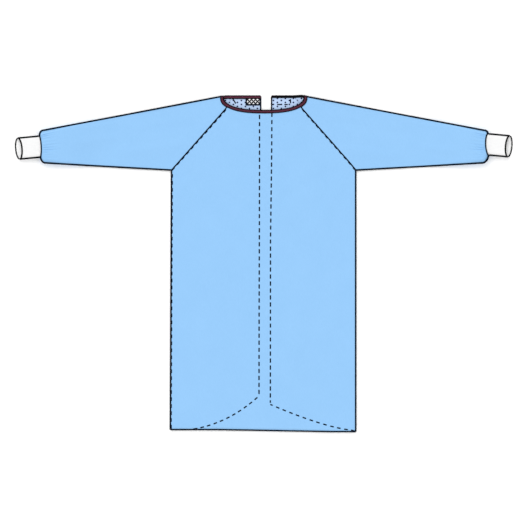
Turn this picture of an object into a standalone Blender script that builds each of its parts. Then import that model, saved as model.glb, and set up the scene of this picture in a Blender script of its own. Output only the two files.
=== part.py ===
"""Long-sleeved surgical gown, laid flat on a surface with its front up.

Metres, +Z up, +Y towards the neck. The origin is the middle of the surface that the gown lies on.
Left and right are as seen from the front, so left is -X. Every cloth piece is a wall with two faces.
"""

import math

import bmesh
import bpy
import numpy as np

# Cut of the body
GOWN_LENGTH = 1.254
BODY_WIDTH = 0.686
UNDERARM_Y = 0.3474
# Cut of the neck: the edge of the opening is a superellipse, wide and shallow
NECK_HALF_WIDTH = 0.150
NECK_DEPTH = 0.054
NECK_SQUARENESS = 2.8
FRONT_SEAM_AT_NECK = (0.1385, 0.5795)
BACK_SEAM_AT_NECK_X = 0.110
# Cut of the sleeves
SHOULDER_SLOPE = math.radians(10.8)
SHOULDER_LENGTH = 0.679
SLEEVE_END_LOW = (0.811, 0.3735)
SLEEVE_END_DEPTH = 0.018
# Knitted cuffs
CUFF_WIDTH = 0.079
CUFF_HEIGHT = 0.024
CUFF_LENGTH = 0.079
CUFF_SLOPE = math.radians(5.3)
CUFF_IN_SLEEVE = 0.004
CUFF_WALL = 0.0015
CUFF_LIFT = 0.0025
CUFF_LIFT_LENGTH = 0.025
CUFF_RINGS = (-CUFF_IN_SLEEVE, 0.006, 0.015, CUFF_LIFT_LENGTH + 0.005, CUFF_LENGTH)
MOUTH_BOW = 0.0145
RIB_COUNT = 36
RIB_DEPTH = 0.0006
# Neck binding and the hook and loop fastening
BINDING_WIDTH = 0.0105
BINDING_WALL = 0.001
BINDING_TURN = 0.002
EDGE_ROOM = 0.0008
TAPE_TOP_Y = 0.6090
TAPE_WIDTH = 0.0195
HOOK_TAPE = {"from_x": -0.0655, "to_x": -0.0125, "thickness": 0.0014}
LOOP_TAPE = {"from_x": 0.0305, "to_x": 0.1010, "thickness": 0.0010}
# Thickness of the cloth, and heights above the surface
WALL = 0.0012
COLLAR_LENGTH = 0.003
COLLAR_ROOM = WALL + 0.0010
GAP = 0.0003
FLAT_HEIGHT = 0.0062
NECK_HEIGHT = 0.0080
NECK_BASE = BINDING_WALL + GAP
WRIST_HEIGHT = 0.030
WRIST_RISE_FROM = 0.55
# Gathers where the sleeve is drawn in to the cuff
GATHER_COUNT = 14
GATHER_LIFT = 0.04
GATHER_FROM = 0.88
# Reach of the raised zone round the neck, in shares of the neck's own half width and depth
NECK_ZONE_FLAT = 0.22
NECK_ZONE_FADE = 0.60

# What differs between the two sides, as seen from the front
SIDES = (
    {
        "name": "left",
        "sign": -1.0,
        "cuff_rise": -0.0016,
        "seam_bow": 0.0070,
        "back_edge_at_neck": 0.0115,
        "back_edge_at_hem": 0.0175,
        "back_hem_rise": 0.115,
        "back_hem_power": 1.9,
    },
    {
        "name": "right",
        "sign": 1.0,
        "cuff_rise": 0.0069,
        "seam_bow": 0.0120,
        "back_edge_at_neck": 0.0294,
        "back_edge_at_hem": 0.0240,
        "back_hem_rise": 0.102,
        "back_hem_power": 1.42,
    },
)

# Sizes that follow from those above
HALF_WIDTH = BODY_WIDTH / 2
HEM_Y = -GOWN_LENGTH / 2
CLOTH_TO_EDGE = EDGE_ROOM + BINDING_WALL
NECK_FOLD = (NECK_HEIGHT - NECK_BASE) / 2
BINDING_RISE = WALL / 2 + GAP + BINDING_WALL
SIDE_RADIUS = FLAT_HEIGHT / 2
ALONG_SHOULDER = np.array([math.cos(SHOULDER_SLOPE), -math.sin(SHOULDER_SLOPE)])
ABOVE_SHOULDER = np.array([math.sin(SHOULDER_SLOPE), math.cos(SHOULDER_SLOPE)])
NECK_Y = (
    GOWN_LENGTH / 2
    - EDGE_ROOM * math.sin(SHOULDER_SLOPE)
    - (NECK_FOLD - WALL / 2 + BINDING_RISE) * math.cos(SHOULDER_SLOPE)
)
RAW_HALF_WIDTH = NECK_HALF_WIDTH + CLOTH_TO_EDGE
RAW_DEPTH = NECK_DEPTH + CLOTH_TO_EDGE
SHOULDER_AT_NECK = np.array([RAW_HALF_WIDTH, NECK_Y])
SHOULDER_OUTLINE = SHOULDER_AT_NECK + NECK_FOLD * ABOVE_SHOULDER
SLEEVE_END_HIGH = SHOULDER_OUTLINE + SHOULDER_LENGTH * ALONG_SHOULDER
UNDERARM = np.array([HALF_WIDTH, UNDERARM_Y])
TURN_CENTRE = SHOULDER_AT_NECK - (EDGE_ROOM + BINDING_TURN) * ALONG_SHOULDER
BACK_NECK_RAW_Y = TURN_CENTRE[1] - BINDING_TURN - EDGE_ROOM
ALONG_CUFF = np.array([math.cos(CUFF_SLOPE), -math.sin(CUFF_SLOPE), 0.0])
ACROSS_CUFF = np.array([math.sin(CUFF_SLOPE), math.cos(CUFF_SLOPE), 0.0])
UP = np.array([0.0, 0.0, 1.0])
FOLD_TURNS = np.linspace(math.pi / 2, -math.pi / 2, 9)


def smooth(share):
    """0 below 0 and 1 above 1, with an S-shaped rise between."""
    share = np.clip(share, 0.0, 1.0)
    return share * share * (3 - 2 * share)


def neck_closeness(x, y):
    """1 at the neck opening, falling to 0 further out on the body and the sleeves."""
    across = np.abs(x) / RAW_HALF_WIDTH
    down = np.maximum(NECK_Y - y, 0.0) / RAW_DEPTH
    level = (across**NECK_SQUARENESS + down**NECK_SQUARENESS) ** (1 / NECK_SQUARENESS)
    return 1 - smooth((level - 1 - NECK_ZONE_FLAT) / NECK_ZONE_FADE)


def base_height(x, y):
    """The lower layer's underside, raised at the neck by what is sewn below it."""
    return NECK_BASE * neck_closeness(x, y)


def top_height(x, y):
    """The upper layer's outer face."""
    return FLAT_HEIGHT + (NECK_HEIGHT - FLAT_HEIGHT) * neck_closeness(x, y)


def front_neck_point(turn):
    """A point of the front neckline's raw edge, turn being 0 at the middle and 90 degrees at the shoulder."""
    power = 2 / NECK_SQUARENESS
    x = RAW_HALF_WIDTH * math.sin(turn) ** power
    y = NECK_Y - RAW_DEPTH * math.cos(turn) ** power
    return np.array([x, y])


def front_neck_y(x):
    """Height in the cut of the front neckline's raw edge at a distance from the middle."""
    share = np.clip(np.abs(x) / RAW_HALF_WIDTH, 0.0, 1.0)
    return NECK_Y - RAW_DEPTH * (1 - share**NECK_SQUARENESS) ** (1 / NECK_SQUARENESS)


class SeamLine:
    """A straight raglan seam from the underarm to a point at the neck, in the cut."""

    def __init__(self, neck_point):
        self.neck = np.array(neck_point)
        along = (self.neck - UNDERARM) / np.linalg.norm(self.neck - UNDERARM)
        self.to_sleeve = np.array([along[1], -along[0]])

    def y_at(self, x, beside):
        """The line's y at x, moved sideways towards the sleeve."""
        rise = (self.neck[1] - UNDERARM[1]) / (self.neck[0] - UNDERARM[0])
        return UNDERARM[1] + (x - UNDERARM[0]) * rise + beside / self.to_sleeve[1]


FRONT_SEAM = SeamLine(FRONT_SEAM_AT_NECK)
BACK_SEAM = SeamLine((BACK_SEAM_AT_NECK_X, BACK_NECK_RAW_Y))


def front_seam_meets_neck(beside):
    """Where the front raglan seam runs into the neckline's raw edge, found by halving."""
    inner, outer = 0.6 * RAW_HALF_WIDTH, RAW_HALF_WIDTH
    for _ in range(40):
        middle = (inner + outer) / 2
        if FRONT_SEAM.y_at(middle, beside) > front_neck_y(middle):
            inner = middle
        else:
            outer = middle
    return np.array([inner, FRONT_SEAM.y_at(inner, beside)])


def grid_faces(rows, columns, ring):
    """Four-sided faces between neighbouring points of a grid. A ring's last column joins its first."""
    spans = columns if ring else columns - 1
    faces = []
    for row in range(rows - 1):
        for column in range(spans):
            here = row * columns + column
            beside = row * columns + (column + 1) % columns
            faces.append((here, here + columns, beside + columns, beside))
    return faces


def new_object(name, points, faces):
    """An object made of those points and faces, in the gown's collection."""
    mesh = bpy.data.meshes.new(name)
    mesh.from_pydata(points.tolist(), [], faces)
    piece = bpy.data.objects.new(name, mesh)
    gown_collection.objects.link(piece)
    return piece


def shade_round(piece):
    """Smooth shading, with the edges sharper than 40 degrees kept crisp."""
    piece.data.shade_smooth()
    piece.data.set_sharp_from_angle(angle=math.radians(40))


def cloth_sheet(name, grid, sign, ring=False):
    """Cloth through a grid of points on its outer side, thickened inwards. sign mirrors it to its side."""
    faces = grid_faces(*grid.shape[:2], ring)
    if sign < 0:
        faces = [face[::-1] for face in faces]
    points = grid.reshape(-1, 3) * np.array([sign, 1.0, 1.0])
    sheet = new_object(name, points, faces)
    shade_round(sheet)
    wall = sheet.modifiers.new("cloth_thickness", "SOLIDIFY")
    wall.thickness = WALL
    wall.offset = -1.0
    return sheet


def closed_loft(name, rings, sign=1.0, hollow=False):
    """A closed solid through equal rings: its two ends are capped, or joined to each other where hollow."""
    count, around = rings.shape[:2]
    faces = grid_faces(count, around, ring=True)
    last = (count - 1) * around
    if hollow:
        beside = [(point + 1) % around for point in range(around)]
        faces += [(last + point, point, beside[point], last + beside[point]) for point in range(around)]
    else:
        faces += [tuple(range(around)), tuple(range(last, last + around))]
    piece = new_object(name, rings.reshape(-1, 3) * np.array([sign, 1.0, 1.0]), faces)
    shape = bmesh.new()
    shape.from_mesh(piece.data)
    bmesh.ops.recalc_face_normals(shape, faces=shape.faces)
    shape.to_mesh(piece.data)
    shape.free()
    shade_round(piece)
    return piece


def material(name, colour, roughness):
    """A plain cloth finish."""
    finish = bpy.data.materials.new(name)
    finish.use_nodes = True
    shader = finish.node_tree.nodes["Principled BSDF"]
    shader.inputs["Base Color"].default_value = (*colour, 1.0)
    shader.inputs["Roughness"].default_value = roughness
    shader.inputs["Metallic"].default_value = 0.0
    return finish


# Body panels


def rounded_side():
    """The rounded side in section, from the side seam inwards: way in from the side, height off the seam.

    It starts upright, so that the two panels' edges face each other squarely.
    """
    turns = np.radians((30, 60))
    up = SIDE_RADIUS - GAP / 2
    bend = [(SIDE_RADIUS * (1 - math.cos(turn)), GAP / 2 + up * math.sin(turn)) for turn in turns]
    return [(0.0, GAP / 2), (0.0, 2 * GAP), *bend]


def front_panel():
    """The front: round neck and raglan seams, sides that round down to the side seams, a straight hem."""
    seam_x = front_seam_meets_neck(-GAP / 2)[0]
    below_neck = seam_x * np.array([0.0, 0.22, 0.42, 0.6, 0.74, 0.84, 0.91, 0.96, 1.0])
    to_side = seam_x + (HALF_WIDTH - SIDE_RADIUS - seam_x) * np.array([0.1, 0.3, 0.5, 0.7, 0.86, 1.0])
    rows = 1 - (1 - np.linspace(0.0, 1.0, 15)) ** 1.8

    def column(x, height):
        top_y = front_neck_y(x) if abs(x) < seam_x else FRONT_SEAM.y_at(abs(x), -GAP / 2)
        y = HEM_Y + (top_y - HEM_Y) * rows
        z = top_height(x, y) - FLAT_HEIGHT + height
        return np.column_stack([np.full_like(y, x), y, z])

    half = [(x, FLAT_HEIGHT) for x in (*below_neck, *to_side)]
    half += [(HALF_WIDTH - inwards, SIDE_RADIUS + up) for inwards, up in rounded_side()[::-1]]
    section = [(-x, z) for x, z in half[:0:-1]] + half
    return cloth_sheet("front_panel", np.array([column(x, z) for x, z in section]), 1.0)


def back_panel(side):
    """One half of the back: a side rounded up to the side seam, a straight free edge, a hem curving up."""
    width = HALF_WIDTH - side["back_edge_at_neck"]
    seam_share = (HALF_WIDTH - BACK_SEAM_AT_NECK_X) / width
    flat_start = SIDE_RADIUS / width
    below_seam = flat_start + (seam_share - flat_start) * np.array([0.0, 0.12, 0.3, 0.5, 0.7, 0.86, 1.0])
    below_neck = seam_share + (1 - seam_share) * np.array([0.25, 0.5, 0.75, 1.0])
    rows = 1 - (1 - np.linspace(0.0, 1.0, 14)) ** 1.8

    def column(share, height):
        x_neck = HALF_WIDTH - share * width
        x_hem = HALF_WIDTH - share * (HALF_WIDTH - side["back_edge_at_hem"])
        y_neck = min(BACK_SEAM.y_at(x_neck, -GAP / 2), BACK_NECK_RAW_Y)
        y_hem = HEM_Y + side["back_hem_rise"] * share ** side["back_hem_power"]
        x = x_hem + (x_neck - x_hem) * rows
        y = y_hem + (y_neck - y_hem) * rows
        return np.column_stack([x, y, base_height(x, y) + height])

    section = [(inwards / width, SIDE_RADIUS - up) for inwards, up in rounded_side()]
    section += [(share, 0.0) for share in (*below_seam, *below_neck)]
    grid = np.array([column(share, z) for share, z in section])
    return cloth_sheet("back_panel_" + side["name"], grid, side["sign"])


# Sleeves

FLAT_POINTS = 21
NECK_POINTS = 6
SLEEVE_RINGS = (0.0, 0.03, 0.12, 0.28, 0.46, 0.6, 0.72, 0.82, 0.89, 0.95, 1.0)
WRIST_TURNS = np.radians((30.0, 60.0, 90.0))


class Outline:
    """A line of points in the cut, read at a share of its length."""

    def __init__(self, points):
        self.points = np.array(points)
        steps = np.linalg.norm(np.diff(self.points, axis=0), axis=1)
        self.shares = np.concatenate([[0.0], np.cumsum(steps)])
        self.length = self.shares[-1]
        self.shares = self.shares / self.length

    def at(self, share):
        x = np.interp(share, self.shares, self.points[:, 0])
        y = np.interp(share, self.shares, self.points[:, 1])
        return np.stack([x, y], axis=-1)


def turned_back_edge():
    """The cloth's raw edge on the lower layer, from the shoulder fold round to the straight back neckline."""
    radius = BINDING_TURN + EDGE_ROOM
    turns = np.linspace(SHOULDER_SLOPE, math.pi / 2, 5)
    return [TURN_CENTRE - radius * np.array([-math.cos(turn), math.sin(turn)]) for turn in turns]


class SleeveCut:
    """The sleeve's edges on the body and at the wrist, from the shoulder fold to the underarm fold."""

    def __init__(self):
        underarm = UNDERARM + GAP / 2 * FRONT_SEAM.to_sleeve
        along_low = np.array(SLEEVE_END_LOW) - underarm
        self.below = np.array([along_low[1], -along_low[0]]) / np.linalg.norm(along_low)
        self.underarm = underarm
        fold_start = underarm - SIDE_RADIUS * self.below
        meets = front_seam_meets_neck(GAP / 2)
        seam_turn = math.asin((meets[0] / RAW_HALF_WIDTH) ** (NECK_SQUARENESS / 2))
        neck_curve = [front_neck_point(turn) for turn in np.linspace(math.pi / 2, seam_turn, 12)[1:-1]]
        turned = turned_back_edge()
        back_meets = np.array([BACK_SEAM_AT_NECK_X + GAP, BACK_NECK_RAW_Y])
        from_shoulder = [SHOULDER_OUTLINE, SHOULDER_AT_NECK]
        self.upper = Outline([*from_shoulder, *neck_curve, meets, fold_start, underarm])
        self.lower = Outline([SHOULDER_OUTLINE, *turned, back_meets, fold_start, underarm])
        self.wrist = Outline([SLEEVE_END_HIGH, SLEEVE_END_LOW])
        seam_corner = self.flat_share(self.upper, len(neck_curve) + 2)
        turn_corner = self.flat_share(self.lower, len(turned))
        back_corner = self.flat_share(self.lower, len(turned) + 1)
        self.upper_places = self.places(seam_corner * np.arange(1, NECK_POINTS + 1) / NECK_POINTS)
        turn_places = turn_corner * np.arange(1, NECK_POINTS - 1) / (NECK_POINTS - 2)
        self.lower_places = self.places([*turn_places, (turn_corner + back_corner) / 2, back_corner])

    @staticmethod
    def flat_share(outline, index):
        """Where one of the outline's points lies, as a share of the stretch between the two folds."""
        fold = NECK_FOLD / outline.length
        return (outline.shares[index] - fold) / (1 - 2 * fold)

    @staticmethod
    def places(neck_places):
        """Places across one layer: those beside the neck, then even ones along the raglan seam."""
        rest = FLAT_POINTS - NECK_POINTS
        corner = neck_places[-1]
        raglan = corner + (1 - corner) * np.arange(1, rest + 1) / (rest + 0.6)
        return np.concatenate([neck_places, raglan])


def fold_arc(at, outward, turns, radius):
    """A half circle of cloth round a fold."""
    ways = np.array([[*(math.cos(turn) * outward), math.sin(turn)] for turn in turns])
    return np.array([*(at - radius * outward), base_height(*at) + radius]) + radius * ways


def flat_layer(cut, edge, body_places, share, radius):
    """Where the points of one layer lie in plan, between the two folds. They even out towards the wrist."""
    even = np.arange(1, FLAT_POINTS + 1) / (FLAT_POINTS + 1)
    places = body_places + share * (even - body_places)
    width = edge.length + share * (cut.wrist.length - edge.length)
    across = radius / width + (1 - 2 * radius / width) * places
    return edge.at(across) + share * (cut.wrist.at(across) - edge.at(across))


def sleeve_ring(cut, share):
    """The outer points round the sleeve at a share of the way from the body to the wrist.

    They start on top at the shoulder fold, go under, round the underarm fold and back over the top.
    """
    puff = (WRIST_HEIGHT - FLAT_HEIGHT) * smooth((share - WRIST_RISE_FROM) / (1 - WRIST_RISE_FROM))
    high = SHOULDER_OUTLINE + share * (SLEEVE_END_HIGH - SHOULDER_OUTLINE)
    low = cut.underarm + share * (np.array(SLEEVE_END_LOW) - cut.underarm)
    high_radius, low_radius = [(top_height(*at) + puff - base_height(*at)) / 2 for at in (high, low)]
    under = flat_layer(cut, cut.lower, cut.lower_places, share, high_radius)
    over = flat_layer(cut, cut.upper, cut.upper_places, share, low_radius)[::-1]
    stretches = (
        fold_arc(high, ABOVE_SHOULDER, FOLD_TURNS, high_radius),
        np.column_stack([under, base_height(*under.T)]),
        fold_arc(low, cut.below, FOLD_TURNS[::-1], low_radius),
        np.column_stack([over, top_height(*over.T) + puff]),
    )
    return np.concatenate(stretches)


def oval_point(turn, half_width, half_height):
    """Across and up from the middle of a flattened oval, on one of its two round ends."""
    across = half_width - half_height * (1 - abs(math.cos(turn)))
    return math.copysign(across, math.cos(turn)), half_height * math.sin(turn)


def cuff_start(side):
    """The middle of the seam between sleeve and cuff, on the surface."""
    end_middle = (SLEEVE_END_HIGH + np.array(SLEEVE_END_LOW)) / 2
    return np.array([end_middle[0] + SLEEVE_END_DEPTH, end_middle[1] + side["cuff_rise"], 0.0])


def seam_bow(across, up, half_width, depth):
    """How far an edge round the cuff lies outwards below, and as far inwards above."""
    roundness = np.sqrt(np.clip(1 - (across / half_width) ** 2, 0.0, 1.0))
    return -depth * roundness * np.sign(np.round(up, 9))


def collar_edge(side):
    """The sleeve's last ring, a flattened oval that lies round the cuff."""
    half_width = CUFF_WIDTH / 2 + COLLAR_ROOM
    half_height = CUFF_HEIGHT / 2 + COLLAR_ROOM
    flat = (half_width - half_height) * (1 - 2 * np.arange(1, FLAT_POINTS + 1) / (FLAT_POINTS + 1))
    section = [oval_point(turn, half_width, half_height) for turn in FOLD_TURNS]
    section += [(across, -half_height) for across in flat]
    section += [(-across, up) for across, up in section[len(FOLD_TURNS) - 1 :: -1]]
    section += [(-across, half_height) for across in flat]
    across, up = np.array(section).T
    outwards = seam_bow(across, up, half_width, side["seam_bow"])
    ring = cuff_start(side) + across[:, None] * ACROSS_CUFF + outwards[:, None] * ALONG_CUFF
    ring[:, 2] = CUFF_LIFT + CUFF_HEIGHT / 2 + up
    return ring


def sleeve(side):
    """A raglan sleeve, one piece of cloth folded at the shoulder and joined under the arm.

    Its end turns in to the cuff like a quarter of an ellipse and runs along it as a short collar.
    Gathers lift the cloth there.
    """
    cut = SleeveCut()
    rings = [sleeve_ring(cut, share) for share in SLEEVE_RINGS]
    wrist = rings[-1]
    collar = collar_edge(side)
    move = collar - COLLAR_LENGTH * ALONG_CUFF - wrist
    along = (move @ ALONG_CUFF)[:, None] * ALONG_CUFF
    for turn in WRIST_TURNS:
        rings.append(wrist + along * math.sin(turn) + (move - along) * (1 - math.cos(turn)))
    grid = np.array([*rings, collar])
    shares = np.array([*SLEEVE_RINGS, *np.ones(len(WRIST_TURNS)), 1.0])
    wave = 0.5 + 0.5 * np.cos(np.linspace(0.0, 2 * math.pi * GATHER_COUNT, grid.shape[1], endpoint=False))
    strength = smooth((shares - GATHER_FROM) / (1 - GATHER_FROM))
    grid[:, :, 2] *= 1 + GATHER_LIFT * strength[:, None] * wave[None, :]
    return cloth_sheet("sleeve_" + side["name"], grid, side["sign"], ring=True)


# Cuffs


def cuff_section(count):
    """Points evenly spaced round a flattened oval: across, up, and the outward direction."""
    radius = CUFF_HEIGHT / 2
    flat = CUFF_WIDTH - CUFF_HEIGHT
    round_end = math.pi * radius
    total = 2 * (flat + round_end)
    points, ways = [], []
    for place in np.arange(count) * total / count:
        if place < flat:
            points.append((-flat / 2 + place, radius))
            ways.append((0.0, 1.0))
        elif place < flat + round_end:
            turn = math.pi / 2 - (place - flat) / radius
            points.append((flat / 2 + radius * math.cos(turn), radius * math.sin(turn)))
            ways.append((math.cos(turn), math.sin(turn)))
        elif place < 2 * flat + round_end:
            points.append((flat / 2 - (place - flat - round_end), -radius))
            ways.append((0.0, -1.0))
        else:
            turn = -math.pi / 2 - (place - 2 * flat - round_end) / radius
            points.append((-flat / 2 + radius * math.cos(turn), radius * math.sin(turn)))
            ways.append((math.cos(turn), math.sin(turn)))
    return np.array(points), np.array(ways)


def cuff(side):
    """A ribbed knitted tube that stands slightly open. Its upper lip sits back from its lower lip."""
    points, ways = cuff_section(2 * RIB_COUNT)
    valley = RIB_DEPTH * (np.arange(2 * RIB_COUNT) % 2)

    def ring_at(place, depth):
        section = points - ways * depth[:, None]
        share = (place + CUFF_IN_SLEEVE) / (CUFF_LENGTH + CUFF_IN_SLEEVE)
        bow = side["seam_bow"] + share * (MOUTH_BOW - side["seam_bow"])
        outwards = place + seam_bow(points[:, 0], points[:, 1], CUFF_WIDTH / 2, bow)
        ring = cuff_start(side) + section[:, :1] * ACROSS_CUFF + outwards[:, None] * ALONG_CUFF
        ring[:, 2] = CUFF_HEIGHT / 2 + section[:, 1] + CUFF_LIFT * (1 - smooth(place / CUFF_LIFT_LENGTH))
        return ring

    outside = [ring_at(place, valley) for place in CUFF_RINGS]
    inside = [ring_at(place, np.full(2 * RIB_COUNT, CUFF_WALL)) for place in CUFF_RINGS[::-1]]
    return closed_loft("cuff_" + side["name"], np.array(outside + inside), side["sign"], hollow=True)


# Neck binding


def binding_section():
    """The folded strip's section: distance into the cloth, and height from the cloth's middle."""
    inner = WALL / 2 + GAP
    outer = BINDING_RISE
    turns = np.radians((60, 25, -25, -60))
    bend = [(-BINDING_WALL * math.cos(turn), outer * math.sin(turn)) for turn in turns]
    return [
        (BINDING_WIDTH, outer),
        (0.0, outer),
        *bend,
        (0.0, -outer),
        (BINDING_WIDTH, -outer),
        (BINDING_WIDTH, -inner),
        (0.0, -inner),
        (0.0, inner),
        (BINDING_WIDTH, inner),
    ]


def binding_frames(edge_x):
    """The strip's half path on the right: edge point, way to the opening, way out of the cloth.

    It runs from the middle of the front over the shoulder fold to the back's edge.
    """
    frames = []
    front_z = NECK_HEIGHT - WALL / 2
    for turn in np.radians(np.linspace(0, 90, 18)):
        turn = min(turn, math.radians(89.6))
        here = front_neck_point(turn)
        ahead = front_neck_point(turn + 0.002) - front_neck_point(max(turn - 0.002, 0.0))
        opening = np.array([-ahead[1], ahead[0], 0.0]) / np.linalg.norm(ahead)
        frames.append((np.array([*here, front_z]) + EDGE_ROOM * opening, opening, UP))
    towards = np.array([*-ALONG_SHOULDER, 0.0])
    axis = np.array([*SHOULDER_AT_NECK, (NECK_HEIGHT + NECK_BASE) / 2]) + EDGE_ROOM * towards
    for turn in FOLD_TURNS[1:-1]:
        out = math.cos(turn) * np.array([*ABOVE_SHOULDER, 0.0]) + math.sin(turn) * UP
        frames.append((axis + (NECK_FOLD - WALL / 2) * out, towards, out))
    back_z = NECK_BASE + WALL / 2
    for turn in np.linspace(SHOULDER_SLOPE, math.pi / 2, 5):
        opening = np.array([-math.cos(turn), math.sin(turn), 0.0])
        here = np.array([*TURN_CENTRE, back_z]) - BINDING_TURN * opening
        frames.append((here, opening, -UP))
    start_x = frames[-1][0][0]
    for x in np.linspace(start_x, edge_x, 4)[1:]:
        frames.append((np.array([x, BACK_NECK_RAW_Y + EDGE_ROOM, back_z]), np.array([0.0, 1.0, 0.0]), -UP))
    return frames


def neck_binding():
    """One folded strip over the raw edges, from the back's left edge round the front to its right edge."""
    section = binding_section()
    halves = []
    for side in SIDES:
        half = []
        for here, opening, out in binding_frames(side["back_edge_at_neck"]):
            ring = np.array([here - into * opening + up * out for into, up in section])
            half.append(ring * np.array([side["sign"], 1.0, 1.0]))
        halves.append(half)
    left, right = halves
    return closed_loft("neck_binding", np.array([*left[:0:-1], *right]))


# Hook and loop fastening


def fastening_tape(name, tape, bottom):
    """A flat rectangle of tape with small bevelled edges."""
    middle_x = (tape["from_x"] + tape["to_x"]) / 2
    bpy.ops.mesh.primitive_cube_add(size=1.0)
    piece = bpy.context.object
    piece.name = name
    piece.data.name = name
    piece.scale = (tape["to_x"] - tape["from_x"], TAPE_WIDTH, tape["thickness"])
    piece.location = (middle_x, TAPE_TOP_Y - TAPE_WIDTH / 2, bottom + tape["thickness"] / 2)
    bpy.ops.object.transform_apply(location=False, rotation=False, scale=True)
    bevel = piece.modifiers.new("soft_edge", "BEVEL")
    bevel.width = 0.0003
    bevel.segments = 1
    for owner in piece.users_collection:
        owner.objects.unlink(piece)
    gown_collection.objects.link(piece)
    return piece


for leftover in list(bpy.data.objects):
    bpy.data.objects.remove(leftover, do_unlink=True)
gown_collection = bpy.data.collections.new("surgical_gown")
bpy.context.scene.collection.children.link(gown_collection)

gown_cloth = material("gown_cloth", (0.33, 0.62, 0.98), 0.75)
knit = material("cuff_knit", (0.90, 0.90, 0.90), 0.90)
binding_cloth = material("binding_cloth", (0.13, 0.010, 0.030), 0.65)
hook_finish = material("hook_tape", (0.85, 0.85, 0.86), 0.60)
loop_finish = material("loop_tape", (0.75, 0.80, 0.86), 0.85)

pieces = [(front_panel(), gown_cloth), (neck_binding(), binding_cloth)]
for gown_side in SIDES:
    pieces.append((back_panel(gown_side), gown_cloth))
    pieces.append((sleeve(gown_side), gown_cloth))
    pieces.append((cuff(gown_side), knit))
pieces.append((fastening_tape("hook_tape", HOOK_TAPE, NECK_BASE + WALL + GAP), hook_finish))
pieces.append((fastening_tape("loop_tape", LOOP_TAPE, 0.0), loop_finish))
for gown_piece, finish in pieces:
    gown_piece.data.materials.append(finish)
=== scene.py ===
# %% [markdown]
# # A surgical gown, laid flat with its front up
# The frame holds the gown's pieces as plain solids in their true places. Here each one gets its looks: thin
# cloth with two different faces, knitted cuffs, a bound neck, and the dark thread that runs along every
# seam. Left and right are as seen from the front, so left is -X. Everything is in metres.

# %% Load the frame
import math

import bpy
import numpy as np
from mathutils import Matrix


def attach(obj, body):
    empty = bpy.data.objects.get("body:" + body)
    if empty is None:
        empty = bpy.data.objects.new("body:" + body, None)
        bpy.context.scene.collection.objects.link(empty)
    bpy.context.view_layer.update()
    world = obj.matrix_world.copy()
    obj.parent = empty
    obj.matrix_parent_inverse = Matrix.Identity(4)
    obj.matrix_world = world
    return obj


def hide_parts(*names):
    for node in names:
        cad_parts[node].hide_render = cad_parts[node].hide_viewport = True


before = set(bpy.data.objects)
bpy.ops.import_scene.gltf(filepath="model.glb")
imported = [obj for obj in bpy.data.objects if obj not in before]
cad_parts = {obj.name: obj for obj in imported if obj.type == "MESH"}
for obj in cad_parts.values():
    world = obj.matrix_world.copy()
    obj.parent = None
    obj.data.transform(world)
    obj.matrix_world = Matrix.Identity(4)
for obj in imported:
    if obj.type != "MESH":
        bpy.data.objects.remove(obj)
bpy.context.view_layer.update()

# %% [markdown]
# ## The cut
# A gown starts as a cutting plan. One half is worked out here, and the other half is its mirror image with
# a few sizes of its own, because the two backs aren't alike. The outline is what the eye checks first, so
# these sizes are those of the solids, apart from a few millimetres at the neck's corners, the backs' hidden
# hems and the cuff seams.

# %% Sizes of the cut
HALF_WIDTH = 0.343
HEM_Y = -0.627
UNDERARM = np.array([HALF_WIDTH, 0.3474])
NECK_HALF_WIDTH = 0.150
NECK_DEPTH = 0.054
NECK_SQUARENESS = 2.5
FRONT_SEAM_AT_NECK = np.array([0.1385, 0.5795])
BACK_SEAM_AT_NECK_X = 0.110
SHOULDER_SLOPE = math.radians(10.8)
SHOULDER_LENGTH = 0.679
SLEEVE_END_LOW = np.array([0.811, 0.3735])
SLEEVE_END_DEPTH = 0.018
# Heights above the surface, and what the solids' walls and gaps measure
FLAT_HEIGHT = 0.0062
NECK_HEIGHT = 0.0080
WRIST_HEIGHT = 0.030
WRIST_RISE_FROM = 0.55
WALL = 0.0012
GAP = 0.0003
# Round the neck the rise is full up to the first share of the opening's size, and it fades over the second
NECK_ZONE_FLAT = 0.22
NECK_ZONE_FADE = 0.60
# Neck binding
BINDING_WIDTH = 0.0105
BINDING_WALL = 0.001
BINDING_TURN = 0.002
EDGE_ROOM = 0.0008
# What differs between the two sides. A back hem's step is its height and where it starts and ends, and the
# dashes' distance from the raglan seam is that at the underarm and what it gains towards the neck
SIDES = (
    {
        "name": "left",
        "sign": -1.0,
        "cuff_rise": -0.0016,
        "seam_bow": 0.0070,
        "seam_lean": 0.0036,
        "seam_allowance": -0.0003,
        "edging_inwards": 0.0026,
        "back_edge_at_neck": 0.0115,
        "back_edge_at_hem": 0.0175,
        "back_hem_rise": 0.132,
        "back_hem_power": 2.3,
        "back_hem_step": (-0.0042, 0.10, 0.25),
        "dashes_beside_raglan": (0.0018, 0.0014),
    },
    {
        "name": "right",
        "sign": 1.0,
        "cuff_rise": 0.0069,
        "seam_bow": 0.0128,
        "seam_lean": 0.0098,
        "seam_allowance": 0.0012,
        "edging_inwards": 0.0036,
        "back_edge_at_neck": 0.0294,
        "back_edge_at_hem": 0.0240,
        "back_hem_rise": 0.0936,
        "back_hem_power": 1.42,
        "back_hem_step": (0.0035, 0.0, 0.04),
        "dashes_beside_raglan": (0.0020, 0.0),
    },
)

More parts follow.
